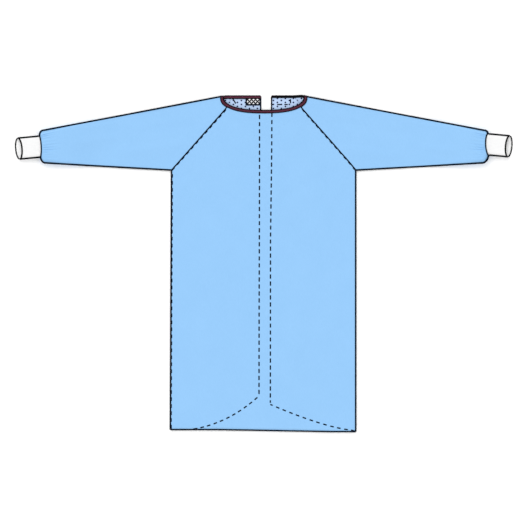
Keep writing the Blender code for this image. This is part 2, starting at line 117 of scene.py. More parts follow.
# %% Sizes that follow from those above
SIDE_RADIUS = FLAT_HEIGHT / 2
CLOTH_TO_EDGE = EDGE_ROOM + BINDING_WALL
NECK_BASE = BINDING_WALL + GAP
NECK_FOLD = (NECK_HEIGHT - NECK_BASE) / 2
BINDING_RISE = WALL / 2 + GAP + BINDING_WALL
ALONG_SHOULDER = np.array([math.cos(SHOULDER_SLOPE), -math.sin(SHOULDER_SLOPE)])
ABOVE_SHOULDER = np.array([math.sin(SHOULDER_SLOPE), math.cos(SHOULDER_SLOPE)])
NECK_Y = (
    -HEM_Y
    - EDGE_ROOM * math.sin(SHOULDER_SLOPE)
    - (NECK_FOLD - WALL / 2 + BINDING_RISE) * math.cos(SHOULDER_SLOPE)
)
RAW_HALF_WIDTH = NECK_HALF_WIDTH + CLOTH_TO_EDGE
RAW_DEPTH = NECK_DEPTH + CLOTH_TO_EDGE
SHOULDER_AT_NECK = np.array([RAW_HALF_WIDTH, NECK_Y])
SHOULDER_OUTLINE = SHOULDER_AT_NECK + NECK_FOLD * ABOVE_SHOULDER
SLEEVE_END_HIGH = SHOULDER_OUTLINE + SHOULDER_LENGTH * ALONG_SHOULDER
TURN_CENTRE = SHOULDER_AT_NECK - (EDGE_ROOM + BINDING_TURN) * ALONG_SHOULDER
BACK_NECK_RAW_Y = TURN_CENTRE[1] - BINDING_TURN - EDGE_ROOM
UP = np.array([0.0, 0.0, 1.0])
print("shoulder from", SHOULDER_OUTLINE.round(4), "to", SLEEVE_END_HIGH.round(4))

# %% [markdown]
# ## Heights of the flat cloth
# A laid-out gown is two layers with a little air between. Round the neck both layers rise by what the
# binding takes up. The height is therefore a function of the place in the cut, which any piece or thread
# can ask.


# %% Heights as functions of the place
def smooth(share):
    """0 below 0 and 1 above 1, and 3 s squared minus 2 s cubed between."""
    share = np.clip(share, 0.0, 1.0)
    return share * share * (3 - 2 * share)


def ramp(value, start, length):
    """Smooth steps from 0 at the start to 1 at the end of a stretch."""
    return smooth((value - start) / length)


def neck_closeness(x, y):
    """1 at the neck opening and 0 further out, by how many times larger the opening's oval is there."""
    across = np.abs(x) / RAW_HALF_WIDTH
    down = np.maximum(NECK_Y - y, 0.0) / RAW_DEPTH
    level = (across**NECK_SQUARENESS + down**NECK_SQUARENESS) ** (1 / NECK_SQUARENESS)
    return 1 - smooth((level - 1 - NECK_ZONE_FLAT) / NECK_ZONE_FADE)


def base_height(x, y):
    """The lower layer's underside."""
    return NECK_BASE * neck_closeness(x, y)


def top_height(x, y):
    """The upper layer's outer face, before any wave."""
    return FLAT_HEIGHT + (NECK_HEIGHT - FLAT_HEIGHT) * neck_closeness(x, y)


# %% [markdown]
# ## How the gown lies
# A garment on a table never lies quite as it was drafted. Here the hem rises a little on the left, the left
# side runs outwards towards the hem, the shoulders lie some three millimetres low and the neck as much
# high, with two more at its right corner. One function gives that to every piece, so cloth, thread and
# tapes stay together. It also lets nothing sink below the surface.

# %% Small moves in plan
HEM_TILT = 0.0076
SIDE_FLARE = 0.0045
SHOULDER_DROP = 0.0034
NECK_LIFT = 0.0030
RIGHT_CORNER_LIFT = 0.0020
HEM_RISES_BETWEEN = (-0.170, 0.250)
# Where the moves fade in and out, as a start and a length: two as shares of the way up, the rest in metres
CORNER_IN = (0.84, 0.12)
SHOULDER_IN = (0.78, 0.22)
SLEEVE_IN = (0.143, 0.015)
SLEEVE_OUT = (0.815, 0.040)
NECK_OUT = (0.130, 0.018)
RIGHT_CORNER_IN = (0.112, 0.030)
RIGHT_CORNER_OUT = (0.150, 0.012)
# At the neck's corner the fade starts this much later and is this much shorter
CORNER_LATER = 0.0155
CORNER_SHORTER = 0.013


def hem_y(x):
    """The front's hem: level at both sides, and rising to the left between them."""
    return HEM_Y + np.interp(x, HEM_RISES_BETWEEN, (HEM_TILT, 0.0))


def as_laid(points):
    """Points moved in plan, each move being its size times its fades. The share of the way up runs from 0 at
    the underarm's line to 1 at the shoulder's."""
    x, y = points[..., 0], points[..., 1]
    across = np.abs(x)
    low = np.interp(across, *np.transpose([UNDERARM, SLEEVE_END_LOW]))
    high = np.interp(across, *np.transpose([SHOULDER_OUTLINE, SLEEVE_END_HIGH]))
    share = (y - low) / (high - low)
    corner = ramp(share, *CORNER_IN)
    sleeve = ramp(across, *SLEEVE_IN) * (1 - ramp(across, *SLEEVE_OUT))
    neck_from, neck_length = NECK_OUT
    neck = 1 - ramp(across, neck_from + CORNER_LATER * corner, neck_length - CORNER_SHORTER * corner)
    lift = NECK_LIFT * smooth(share) * neck
    lift = lift + RIGHT_CORNER_LIFT * corner * ramp(x, *RIGHT_CORNER_IN) * (1 - ramp(x, *RIGHT_CORNER_OUT))
    flare = SIDE_FLARE * np.clip((UNDERARM[1] - y) / (UNDERARM[1] - HEM_Y), 0.0, 1.0)
    moved = np.array(points, dtype=float)
    moved[..., 0] += flare * np.minimum(x, 0.0) / HALF_WIDTH
    moved[..., 1] += lift - SHOULDER_DROP * sleeve * ramp(share, *SHOULDER_IN)
    moved[..., 2] = np.maximum(moved[..., 2], 0.0)
    return moved


# %% [markdown]
# ## Faint waves
# Nonwoven cloth keeps the memory of how it was folded and handled. The drawing shows it smooth, so the
# waves here stay about a millimetre high over a hand's width: enough for light to move across the cloth.
# Long sine waves give the lie of the cloth, and single soft ridges and troughs, each listed below, give
# the creases.

# %% Waves and creases
LONG_WAVES = (
    # direction in degrees, length, height, shift
    (18.0, 0.37, 0.00050, 0.6),
    (71.0, 0.29, 0.00042, 2.1),
    (128.0, 0.23, 0.00034, 4.0),
)
CREASES = (
    # from x and y, to x and y, half width, height
    (-0.285, 0.300, -0.150, 0.060, 0.026, 0.0016),
    (-0.262, 0.330, -0.060, 0.190, 0.020, -0.0011),
    (0.292, 0.305, 0.175, 0.110, 0.024, 0.0015),
    (0.240, 0.345, 0.080, 0.245, 0.019, -0.0012),
    (-0.200, -0.560, -0.235, -0.250, 0.034, 0.0014),
    (-0.060, -0.600, -0.085, -0.330, 0.030, -0.0010),
    (0.090, -0.590, 0.125, -0.190, 0.036, 0.0015),
    (0.235, -0.570, 0.225, -0.360, 0.026, -0.0011),
    (-0.105, 0.500, -0.035, 0.330, 0.022, 0.0010),
    (0.125, 0.490, 0.020, 0.360, 0.024, 0.0011),
    (-0.310, 0.440, -0.520, 0.415, 0.021, 0.0016),
    (-0.260, 0.515, -0.440, 0.490, 0.018, -0.0011),
    (0.300, 0.425, 0.480, 0.400, 0.020, 0.0015),
    (0.270, 0.520, 0.530, 0.480, 0.022, -0.0012),
    (-0.560, 0.470, -0.690, 0.450, 0.018, 0.0014),
    (0.600, 0.430, 0.700, 0.420, 0.017, 0.0014),
)
WAVE_ROOM = 0.055


def segment_distance(x, y, start, end):
    """Distance in plan to a straight stretch: to the foot of the square on it, held between its ends."""
    along = np.subtract(end, start)
    place = ((x - start[0]) * along[0] + (y - start[1]) * along[1]) / (along @ along)
    place = np.clip(place, 0.0, 1.0)
    return np.hypot(x - start[0] - place * along[0], y - start[1] - place * along[1])


def outline_distance(x, y):
    """Distance to the nearest folded edge: the side, the underarm or the shoulder."""
    x = np.abs(x)
    side = segment_distance(x, y, (HALF_WIDTH, HEM_Y), UNDERARM)
    below = segment_distance(x, y, UNDERARM, SLEEVE_END_LOW)
    above = segment_distance(x, y, SHOULDER_OUTLINE, SLEEVE_END_HIGH)
    return np.minimum(np.minimum(side, below), above)


def cloth_wave(x, y):
    """Sum of long sines and of a bell curve across each crease, faded out at folded edges and the neck."""
    wave = np.zeros(np.shape(x))
    for direction, length, height, shift in LONG_WAVES:
        turn = math.radians(direction)
        along = x * math.cos(turn) + y * math.sin(turn)
        wave = wave + height * np.sin(along * 2 * math.pi / length + shift)
    for from_x, from_y, to_x, to_y, half_width, height in CREASES:
        away = segment_distance(x, y, (from_x, from_y), (to_x, to_y))
        wave = wave + height * np.exp(-((away / half_width) ** 2))
    return wave * smooth(outline_distance(x, y) / WAVE_ROOM) * (1 - neck_closeness(x, y))


def front_height(x, y):
    """The upper layer's outer face, with its waves."""
    return top_height(x, y) + cloth_wave(x, y)


print("waves from %.2f to %.2f mm" % tuple(
    1000 * edge(cloth_wave(*np.meshgrid(np.linspace(-0.7, 0.7, 200), np.linspace(-0.6, 0.6, 200))))
    for edge in (np.min, np.max)
))

# %% [markdown]
# ## From arrays to meshes
# Every shape below is a grid of points: rows along the piece and columns across or round it. Blender wants
# a list of points and a list of faces, so one helper turns a grid into four-sided faces, and another makes
# the object. Patterns that follow the cloth, such as knit and twisted thread, need a UV map, in metres
# here.


# %% Grids and pieces
def grid_faces(rows, columns, ring=False, loop=False):
    """Faces between neighbours. A ring's last column joins its first, and a loop's last row its first."""
    row = np.arange(rows if loop else rows - 1)[:, None]
    column = np.arange(columns if ring else columns - 1)[None, :]
    here, after, beside = row * columns, (row + 1) % rows * columns, (column + 1) % columns
    corners = (here + column, after + column, after + beside, here + beside)
    return np.stack(np.broadcast_arrays(*corners), axis=-1).reshape(-1, 4)


def grid_uv(along, around):
    """The UV of each face corner. Both lists have one entry more than there are faces that way."""
    u, v = np.meshgrid(along, around, indexing="ij")
    both = np.stack([u, v], axis=-1)
    corners = (both[:-1, :-1], both[1:, :-1], both[1:, 1:], both[:-1, 1:])
    return np.stack(corners, axis=2).reshape(-1, 4, 2)


def make_piece(name, points, faces, finishes, uv=None):
    """A smooth-shaded mesh object that rides with the gown. uv holds one pair for each face corner."""
    mesh = bpy.data.meshes.new(name)
    mesh.from_pydata(as_laid(np.reshape(points, (-1, 3))).tolist(), [], faces)
    mesh.shade_smooth()
    if uv is not None:
        layer = mesh.uv_layers.new(name="cloth_metres")
        layer.data.foreach_set("uv", np.asarray(uv, dtype=np.float32).ravel())
    piece = bpy.data.objects.new(name, mesh)
    bpy.context.scene.collection.objects.link(piece)
    for finish in finishes:
        mesh.materials.append(finish)
    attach(piece, "root")
    return piece


def mirrored(points, faces, sign):
    """The points on their own side of the gown. Mirroring turns faces inside out, so they are turned back."""
    faces = np.asarray(faces)
    return points * np.array([sign, 1.0, 1.0]), faces if sign > 0 else faces[:, ::-1]


def give_thickness(piece, thickness):
    """A wall inwards from the outer face. The inner face takes the second material."""
    wall = piece.modifiers.new("cloth_thickness", "SOLIDIFY")
    wall.thickness = thickness
    wall.offset = -1.0
    wall.material_offset = len(piece.data.materials) - 1
    return piece


def report(piece):
    """Prints how many triangles the finished piece has, and its lowest and highest point in millimetres."""
    seen = piece.evaluated_get(bpy.context.evaluated_depsgraph_get()).to_mesh()
    seen.calc_loop_triangles()
    places = np.empty(len(seen.vertices) * 3)
    seen.vertices.foreach_get("co", places)
    heights = 1000 * places[2::3]
    count = len(seen.loop_triangles)
    print("%s: %d triangles, %.2f to %.2f mm" % (piece.name, count, heights.min(), heights.max()))


# %% [markdown]
# ## Finishes
# A material is a small graph. The helper below adds its nodes a step at a time and gives back their
# outputs, so that a finish reads like a recipe. Patterns on cloth read Object coordinates, which are plain
# metres here, because every piece's object sits at the origin.


# %% A helper for recipes
class Finish:
    """A material whose nodes are added one step at a time. Each step gives back its output."""

    def __init__(self, name, roughness, sheen=0.0, gloss=0.25):
        self.material = bpy.data.materials.new(name)
        self.material.use_nodes = True
        self.tree = self.material.node_tree
        self.shader = self.tree.nodes["Principled BSDF"]
        self.shader.inputs["Roughness"].default_value = roughness
        self.shader.inputs["Sheen Weight"].default_value = sheen
        self.shader.inputs["Sheen Roughness"].default_value = 0.5
        self.shader.inputs["Specular IOR Level"].default_value = gloss
        self.place = self.step("ShaderNodeTexCoord", "Object", {})
        self.on_cloth = self.step("ShaderNodeUVMap", "UV", {}, uv_map="cloth_metres")

    def step(self, kind, output, inputs, **settings):
        """Adds a node with its settings, and joins or sets its inputs by name or number."""
        node = self.tree.nodes.new(kind)
        for setting, value in settings.items():
            setattr(node, setting, value)
        for name, value in inputs.items():
            if isinstance(value, bpy.types.NodeSocket):
                self.tree.links.new(value, node.inputs[name])
            else:
                node.inputs[name].default_value = value
        return node.outputs[output]

    def math(self, operation, *values):
        """One step of arithmetic on numbers or outputs."""
        return self.step("ShaderNodeMath", 0, dict(enumerate(values)), operation=operation)

    def stretch(self, vector, scale):
        """Coordinates times a scale for each axis."""
        return self.step("ShaderNodeVectorMath", 0, {0: vector, 1: scale}, operation="MULTIPLY")

    def split(self, vector):
        """The three numbers of a vector."""
        node = self.step("ShaderNodeSeparateXYZ", "X", {"Vector": vector}).node
        return node.outputs["X"], node.outputs["Y"], node.outputs["Z"]

    def away(self, x, y):
        """The root of the sum of two squares."""
        return self.math("SQRT", self.math("ADD", self.math("POWER", x, 2.0), self.math("POWER", y, 2.0)))

    def noise(self, vector, scale, detail):
        """Cloudy random values between 0 and 1, about one cloud to 1 / scale metres."""
        return self.step("ShaderNodeTexNoise", "Fac", {"Vector": vector, "Scale": scale, "Detail": detail})

    def fade(self, value, low, high):
        """0 at low and 1 at high, smooth between. low may be the larger."""
        inputs = {"Value": value, "From Min": low, "From Max": high}
        return self.step("ShaderNodeMapRange", "Result", inputs, interpolation_type="SMOOTHSTEP")

    def mix(self, share, first, second):
        """A blend of two colours, from the first at 0 to the second at 1."""
        colours = [c if isinstance(c, bpy.types.NodeSocket) else (*c, 1.0) for c in (first, second)]
        return self.step("ShaderNodeMix", 2, {0: share, 6: colours[0], 7: colours[1]}, data_type="RGBA")

    def colour(self, socket):
        """Gives the surface its colour."""
        self.tree.links.new(socket, self.shader.inputs["Base Color"])

    def relief(self, height, depth):
        """Bumps the surface, by up to depth in metres."""
        bump = self.step("ShaderNodeBump", "Normal", {"Height": height, "Distance": depth, "Strength": 1.0})
        self.tree.links.new(bump, self.shader.inputs["Normal"])


def from_centre(finish, value, repeat, shift=0.0):
    """Distance from the middle of the repeat that a coordinate lies in, from 0 to half a repeat."""
    moved = finish.math("ADD", finish.math("DIVIDE", value, repeat), shift)
    signed = finish.math("SUBTRACT", finish.math("FRACT", moved), 0.5)
    return finish.math("MULTIPLY", finish.math("ABSOLUTE", signed), repeat)


def dots(finish, across_repeat, along_repeat, radius, edge, shift=(0.0, 0.0)):
    """1 inside round dots in alternate rows, half a repeat apart, and 0 outside."""
    x, y, _ = finish.split(finish.place)
    sets = []
    for half in (0.0, 0.5):
        dx = from_centre(finish, x, across_repeat, shift[0] + half)
        dy = from_centre(finish, y, along_repeat, shift[1] + half)
        sets.append(finish.fade(finish.away(dx, dy), radius + edge, radius - edge))
    return finish.math("MAXIMUM", *sets)


# %% [markdown]
# ## The gown's cloth
# The cloth is a spunbond nonwoven: fine fibres laid at random and welded together at thousands of small
# points. From a distance it is an even sky blue. Close up it is slightly cloudy, with fibre streaks and a
# bond pattern of about 2.4 mm. The inner face is paler, a lavender film printed with small navy dots in
# offset rows.

# %% Outer and inner cloth
BOND_REPEAT = 0.0034
DOT_ROW = 0.0149
DOT_REPEAT = 0.0298
DOT_RADIUS = 0.0033
DOT_AT = (-0.02366, 0.57697)
DOT_EDGE = 0.0003
DOT_NAVY = (0.006, 0.010, 0.060)
BOND_RADIUS = 0.00045
BOND_EDGE = 0.0002


def spunbond(name, deep, pale):
    """Cloudy, streaky cloth with welded points. Gives back the finish and its colour."""
    finish = Finish(name, roughness=0.72, sheen=0.12)
    clouds = finish.noise(finish.place, 11.0, 4.0)
    streaks = finish.noise(finish.stretch(finish.place, (1.0, 0.16, 1.0)), 620.0, 3.0)
    bonds = dots(finish, BOND_REPEAT, BOND_REPEAT, BOND_RADIUS, BOND_EDGE)
    share = finish.math("ADD", finish.math("MULTIPLY", clouds, 0.30), finish.math("MULTIPLY", streaks, 0.70))
    colour = finish.mix(finish.fade(share, 0.25, 0.75), deep, pale)
    colour = finish.mix(finish.math("MULTIPLY", bonds, 0.35), colour, deep)
    height = finish.math("SUBTRACT", finish.math("MULTIPLY", streaks, 0.4), bonds)
    finish.relief(height, 0.00012)
    return finish, colour


outer_finish, outer_colour = spunbond("gown_cloth_outer", (0.233, 0.461, 0.748), (0.256, 0.489, 0.778))
outer_finish.colour(outer_colour)
inner_finish, inner_colour = spunbond("gown_cloth_inner", (0.388, 0.518, 0.740), (0.438, 0.568, 0.785))
shift = (0.5 - DOT_AT[0] / DOT_REPEAT, 0.5 - DOT_AT[1] / DOT_ROW)
print_dots = dots(inner_finish, DOT_REPEAT, DOT_ROW, DOT_RADIUS, DOT_EDGE, shift)
inner_finish.colour(inner_finish.mix(print_dots, inner_colour, DOT_NAVY))
CLOTH = [outer_finish.material, inner_finish.material]

# %% [markdown]
# ## The front
# One piece: a straight hem, sides that round down to the side seams, raglan seams, and the scooped front
# neckline. Each column of the grid runs straight up from the hem and stops at the neckline or at the raglan
# seam, so the grid's own edge is the cut edge, and no trimming is needed.

# %% Neckline and raglan seams
CLOTH_THICKNESS = 0.0006


def front_neck_y(x):
    """The front neckline's raw edge: the lower half of a superellipse, an oval with fuller corners."""
    share = np.clip(np.abs(x) / RAW_HALF_WIDTH, 0.0, 1.0)
    return NECK_Y - RAW_DEPTH * (1 - share**NECK_SQUARENESS) ** (1 / NECK_SQUARENESS)


def unit(vectors):
    """The same directions with a length of 1."""
    return vectors / np.linalg.norm(vectors, axis=-1, keepdims=True)


class SeamLine:
    """A straight raglan seam from the underarm to a point at the neck."""

    def __init__(self, neck_point):
        self.neck = np.array(neck_point)
        along = unit(self.neck - UNDERARM)
        self.to_sleeve = np.array([along[1], -along[0]])
        self.rise = along[1] / along[0]

    def y_at(self, x, beside=0.0):
        """The line's y at x, moved sideways towards the sleeve."""
        return UNDERARM[1] + (x - UNDERARM[0]) * self.rise + beside / self.to_sleeve[1]


FRONT_SEAM = SeamLine(FRONT_SEAM_AT_NECK)
BACK_SEAM = SeamLine((BACK_SEAM_AT_NECK_X, BACK_NECK_RAW_Y))


def seam_meets_neck(beside):
    """Where the front raglan seam runs into the neckline, read off a fine comparison of the two heights."""
    x = np.linspace(0.6 * RAW_HALF_WIDTH, RAW_HALF_WIDTH, 20001)
    found = x[np.argmax(FRONT_SEAM.y_at(x, beside) < front_neck_y(x))]
    return np.array([found, FRONT_SEAM.y_at(found, beside)])


# %% Front panel
FRONT_ROWS = 150
ROW_CROWDING = 1.4
ROUND_POINTS = 8


def rows_up(count):
    """Shares of the way from the hem to the cut edge, closer together towards that edge."""
    return 1 - (1 - np.linspace(0.0, 1.0, count)) ** ROW_CROWDING


def rounded_side():
    """A quarter circle from the flat cloth to the side seam: distance in from the side, and drop."""
    turns = np.linspace(math.pi / 2, 0.0, ROUND_POINTS)[1:]
    return SIDE_RADIUS * (1 - np.cos(turns)), (SIDE_RADIUS - GAP / 2) * (1 - np.sin(turns))


def front_points():
    """Columns at x go from the hem to the cut edge: y = hem + rows * (edge - hem), z = the cloth height."""
    seam_x = seam_meets_neck(-GAP / 2)[0]
    inwards, side_drop = rounded_side()
    flat = np.concatenate([np.linspace(0, seam_x, 46), np.linspace(seam_x, HALF_WIDTH - SIDE_RADIUS, 62)[1:]])
    half = np.concatenate([flat, HALF_WIDTH - inwards])
    drop = np.concatenate([np.zeros(len(flat)), side_drop])
    x = np.concatenate([-half[:0:-1], half])
    drop = np.concatenate([drop[:0:-1], drop])
    edge = np.where(np.abs(x) <= seam_x, front_neck_y(x), FRONT_SEAM.y_at(np.abs(x), -GAP / 2))
    y = hem_y(x)[:, None] + (edge - hem_y(x))[:, None] * rows_up(FRONT_ROWS)
    x = np.broadcast_to(x[:, None], y.shape)
    return np.stack([x, y, front_height(x, y) - drop[:, None]], axis=-1)


points = front_points()
front = make_piece("front_cloth", points, grid_faces(*points.shape[:2]).tolist(), CLOTH)
give_thickness(front, CLOTH_THICKNESS)
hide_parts("front_panel")
report(front)

# %% [markdown]
# ## The two backs
# Each back half has a rounded side too, a straight free edge down the middle, and a hem that curves up
# towards that edge. They lie under the front with their inner face up, which shows in the neck opening.
# Here the columns lean, so x also runs from its place at the hem to its place at the neck.

# %% Back panels
BACK_ROWS = 130


def back_points(side):
    """Columns at shares from the side seam, 0, to the free edge, 1, leaning from hem to neck."""
    width = HALF_WIDTH - side["back_edge_at_neck"]
    seam_share = (HALF_WIDTH - BACK_SEAM_AT_NECK_X) / width
    inwards, rise = rounded_side()
    below_seam = np.linspace(SIDE_RADIUS / width, seam_share, 54)
    below_neck = np.linspace(seam_share, 1.0, 28)[1:]
    share = np.concatenate([inwards[::-1] / width, below_seam, below_neck])
    height = np.concatenate([rise[::-1], np.zeros(len(below_seam) + len(below_neck))])
    x_neck = HALF_WIDTH - share * width
    x_hem = HALF_WIDTH - share * (HALF_WIDTH - side["back_edge_at_hem"])
    y_neck = np.minimum(BACK_SEAM.y_at(x_neck, -GAP / 2), BACK_NECK_RAW_Y)
    y_hem = hem_y(side["sign"] * x_hem) + side["back_hem_rise"] * share ** side["back_hem_power"]
    step, step_from, step_to = side["back_hem_step"]
    y_hem = y_hem + step * ramp(share, step_from, step_to - step_from)
    rows = rows_up(BACK_ROWS)
    x = x_hem[:, None] + (x_neck - x_hem)[:, None] * rows
    y = y_hem[:, None] + (y_neck - y_hem)[:, None] * rows
    return np.stack([x, y, base_height(x, y) + height[:, None]], axis=-1)


for side in SIDES:
    points = back_points(side)
    points, faces = mirrored(points, grid_faces(*points.shape[:2]), side["sign"])
    piece = make_piece("back_cloth_" + side["name"], points, faces.tolist(), CLOTH)
    give_thickness(piece, CLOTH_THICKNESS)
    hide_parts("back_panel_" + side["name"])
    report(piece)

# %% [markdown]
# ## The sleeves
# A raglan sleeve is one piece folded at the shoulder and joined under the arm. Its grid has a row for each
# ring from the body to the wrist. A ring goes over the shoulder fold, back along the lower layer, round the
# underarm fold and home over the upper layer. The flat layers are blended in plan between the sleeve's edge
# on the body and its edge at the wrist.

# %% The sleeve's edges
LAYER_POINTS = 76
NECK_POINTS = 20
# The last flat point is this share of a step away from the fold
LAST_STEP = 0.6
FOLD_TURNS = np.linspace(math.pi / 2, -math.pi / 2, 13)


def lengths_along(points):
    """The distance from the first point along the line to each of its points."""
    return np.concatenate([[0.0], np.cumsum(np.linalg.norm(np.diff(points, axis=0), axis=1))])


class Outline:
    """A line of points in the cut, read at a share of its length."""

    def __init__(self, points):
        self.points = np.array(points)
        lengths = lengths_along(self.points)
        self.length = lengths[-1]
        self.shares = lengths / self.length

    def at(self, share):
        """Points at those shares of the line's length."""
        x = np.interp(share, self.shares, self.points[:, 0])
        y = np.interp(share, self.shares, self.points[:, 1])
        return np.stack([x, y], axis=-1)


def front_neck_curve(turns):
    """Points of the front neckline's raw edge, a turn of 0 being its middle and 90 degrees its end."""
    power = 2 / NECK_SQUARENESS
    x = RAW_HALF_WIDTH * np.sin(turns) ** power
    y = NECK_Y - RAW_DEPTH * np.cos(turns) ** power
    return np.stack([x, y], axis=-1)


def turned_back_edge(radius, count):
    """A small arc from the shoulder fold round to the straight back neckline."""
    turns = np.linspace(SHOULDER_SLOPE, math.pi / 2, count)
    return TURN_CENTRE - radius * np.stack([-np.cos(turns), np.sin(turns)], axis=-1)


underarm = UNDERARM + GAP / 2 * FRONT_SEAM.to_sleeve
along_low = SLEEVE_END_LOW - underarm
BELOW_UNDERARM = unit(np.array([along_low[1], -along_low[0]]))
fold_start = underarm - SIDE_RADIUS * BELOW_UNDERARM
meets = seam_meets_neck(GAP / 2)
seam_turn = math.asin((meets[0] / RAW_HALF_WIDTH) ** (NECK_SQUARENESS / 2))
neck_curve = front_neck_curve(np.linspace(math.pi / 2, seam_turn, 24)[1:-1])
back_arc = turned_back_edge(BINDING_TURN + EDGE_ROOM, 9)
back_meets = np.array([BACK_SEAM_AT_NECK_X + GAP, BACK_NECK_RAW_Y])
upper_edge = Outline([SHOULDER_OUTLINE, SHOULDER_AT_NECK, *neck_curve, meets, fold_start, underarm])
lower_edge = Outline([SHOULDER_OUTLINE, *back_arc, back_meets, fold_start, underarm])
wrist_edge = Outline([SLEEVE_END_HIGH, SLEEVE_END_LOW])
print("sleeve edge on the front %.3f m, on the back %.3f m" % (upper_edge.length, lower_edge.length))


# %% Rings of the sleeve
def layer_places(edge, corner):
    """Shares across a layer: even ones beside the neck up to a corner, then even ones along the raglan."""
    fold = NECK_FOLD / edge.length
    corner = (edge.shares[corner] - fold) / (1 - 2 * fold)
    beside_neck = corner * np.arange(1, NECK_POINTS + 1) / NECK_POINTS
    rest = LAYER_POINTS - NECK_POINTS
    return np.concatenate([beside_neck, corner + (1 - corner) * np.arange(1, rest + 1) / (rest + LAST_STEP)])


def flat_layer(edge, places, shares, radius):
    """One layer in plan: the edge on the body blended with the edge at the wrist, between the two folds."""
    shares, radius = shares[:, None], radius[:, None]
    even = np.arange(1, LAYER_POINTS + 1) / (LAYER_POINTS + 1)
    places = places + shares * (even - places)
    width = edge.length + shares * (wrist_edge.length - edge.length)
    across = radius / width + (1 - 2 * radius / width) * places
    return edge.at(across) + shares[..., None] * (wrist_edge.at(across) - edge.at(across))


def fold_arc(at, outward, turns, radius):
    """Half a circle of cloth round a fold, for every ring at once."""
    ways = np.stack([np.cos(turns) * outward[0], np.cos(turns) * outward[1], np.sin(turns)], axis=-1)
    middle = np.column_stack([at - radius[:, None] * outward, base_height(*at.T) + radius])
    return middle[:, None, :] + radius[:, None, None] * ways


def sleeve_rings(shares, sign):
    """The rings at those shares of the way from the body to the wrist."""
    puff = (WRIST_HEIGHT - FLAT_HEIGHT) * ramp(shares, WRIST_RISE_FROM, 1 - WRIST_RISE_FROM)
    high = SHOULDER_OUTLINE + shares[:, None] * (SLEEVE_END_HIGH - SHOULDER_OUTLINE)
    low = underarm + shares[:, None] * (SLEEVE_END_LOW - underarm)
    high_radius, low_radius = [(top_height(*at.T) + puff - base_height(*at.T)) / 2 for at in (high, low)]
    under = flat_layer(lower_edge, layer_places(lower_edge, len(back_arc) + 1), shares, high_radius)
    over = flat_layer(upper_edge, layer_places(upper_edge, len(neck_curve) + 2), shares, low_radius)[:, ::-1]
    over_x, over_y = over[..., 0], over[..., 1]
    over_z = top_height(over_x, over_y) + puff[:, None] + cloth_wave(sign * over_x, over_y)
    stretches = (
        fold_arc(high, ABOVE_SHOULDER, FOLD_TURNS, high_radius),
        np.concatenate([under, base_height(under[..., 0], under[..., 1])[..., None]], axis=-1),
        fold_arc(low, BELOW_UNDERARM, FOLD_TURNS[::-1], low_radius),
        np.concatenate([over, over_z[..., None]], axis=-1),
    )
    return np.concatenate(stretches, axis=1)


# %% [markdown]
# ## The wrist
# The wide sleeve is drawn in to a narrow cuff. Its end turns in like a quarter of an ellipse and then runs
# along the cuff as a short collar. The spare cloth has to go somewhere: it forms gathers, narrow troughs
# that fan out from the cuff and die away up the sleeve. A real machine feeds the cloth unevenly, so their
# spacing, depth and length vary. They are cut inwards along the surface's own normals, so the outline keeps
# its shape.

# %% Cuff seam and gathers
CUFF_WIDTH = 0.079
CUFF_HEIGHT = 0.024
CUFF_LENGTH = 0.079
CUFF_SLOPE = math.radians(5.3)
CUFF_LIFT = 0.0025
CUFF_LIFT_LENGTH = 0.025
CUFF_IN_SLEEVE = 0.004
COLLAR_LENGTH = 0.003
COLLAR_ROOM = WALL + 0.0010
MOUTH_BOW = 0.0122
ALONG_CUFF = np.array([math.cos(CUFF_SLOPE), -math.sin(CUFF_SLOPE), 0.0])
ACROSS_CUFF = np.array([math.sin(CUFF_SLOPE), math.cos(CUFF_SLOPE), 0.0])
GATHERS = 23
GATHER_DEPTH = 0.0026
GATHER_REACH = 0.15
GATHER_LEFT_AT_CUFF = 0.12
SLEEVE_RINGS = 92
RING_CROWDING = 0.6


def cuff_start(side):
    """The middle of the seam between sleeve and cuff, on the surface."""
    middle = (SLEEVE_END_HIGH + SLEEVE_END_LOW) / 2
    return np.array([middle[0] + SLEEVE_END_DEPTH, middle[1] + side["cuff_rise"], 0.0])


def seam_bow(across, up, half_width, depth):
    """How far an edge round the cuff lies outwards below, and as far inwards above: half an ellipse each."""
    roundness = np.sqrt(np.clip(1 - (across / half_width) ** 2, 0.0, 1.0))
    return -depth * roundness * np.sign(np.round(up, 9))


def collar_edge(side):
    """The sleeve's last ring: a flattened oval round the cuff, with a point for each point of the rings."""
    half_width = CUFF_WIDTH / 2 + COLLAR_ROOM
    half_height = CUFF_HEIGHT / 2 + COLLAR_ROOM
    flat = (half_width - half_height) * (1 - 2 * np.arange(1, LAYER_POINTS + 1) / (LAYER_POINTS + 1))
    end_across = half_width - half_height + half_height * np.cos(FOLD_TURNS)
    end_up = half_height * np.sin(FOLD_TURNS)
    across = np.concatenate([end_across, flat, -end_across, -flat])
    level = np.full(LAYER_POINTS, half_height)
    up = np.concatenate([end_up, -level, end_up[::-1], level])
    outwards = seam_bow(across, up, half_width, side["seam_bow"])
    outwards = outwards + side["seam_lean"] * (1 - across / half_width) / 2
    ring = cuff_start(side) + across[:, None] * ACROSS_CUFF + outwards[:, None] * ALONG_CUFF
    ring[:, 2] = CUFF_LIFT + CUFF_HEIGHT / 2 + up
    return ring


def ring_normals(points):
    """Outward unit normals of a grid whose last column joins its first: one grid direction crossed with the
    other."""
    along = np.gradient(points, axis=0)
    around = np.roll(points, -1, axis=1) - np.roll(points, 1, axis=1)
    normals = np.cross(along, around)
    return normals / np.maximum(np.linalg.norm(normals, axis=-1, keepdims=True), 1e-12)


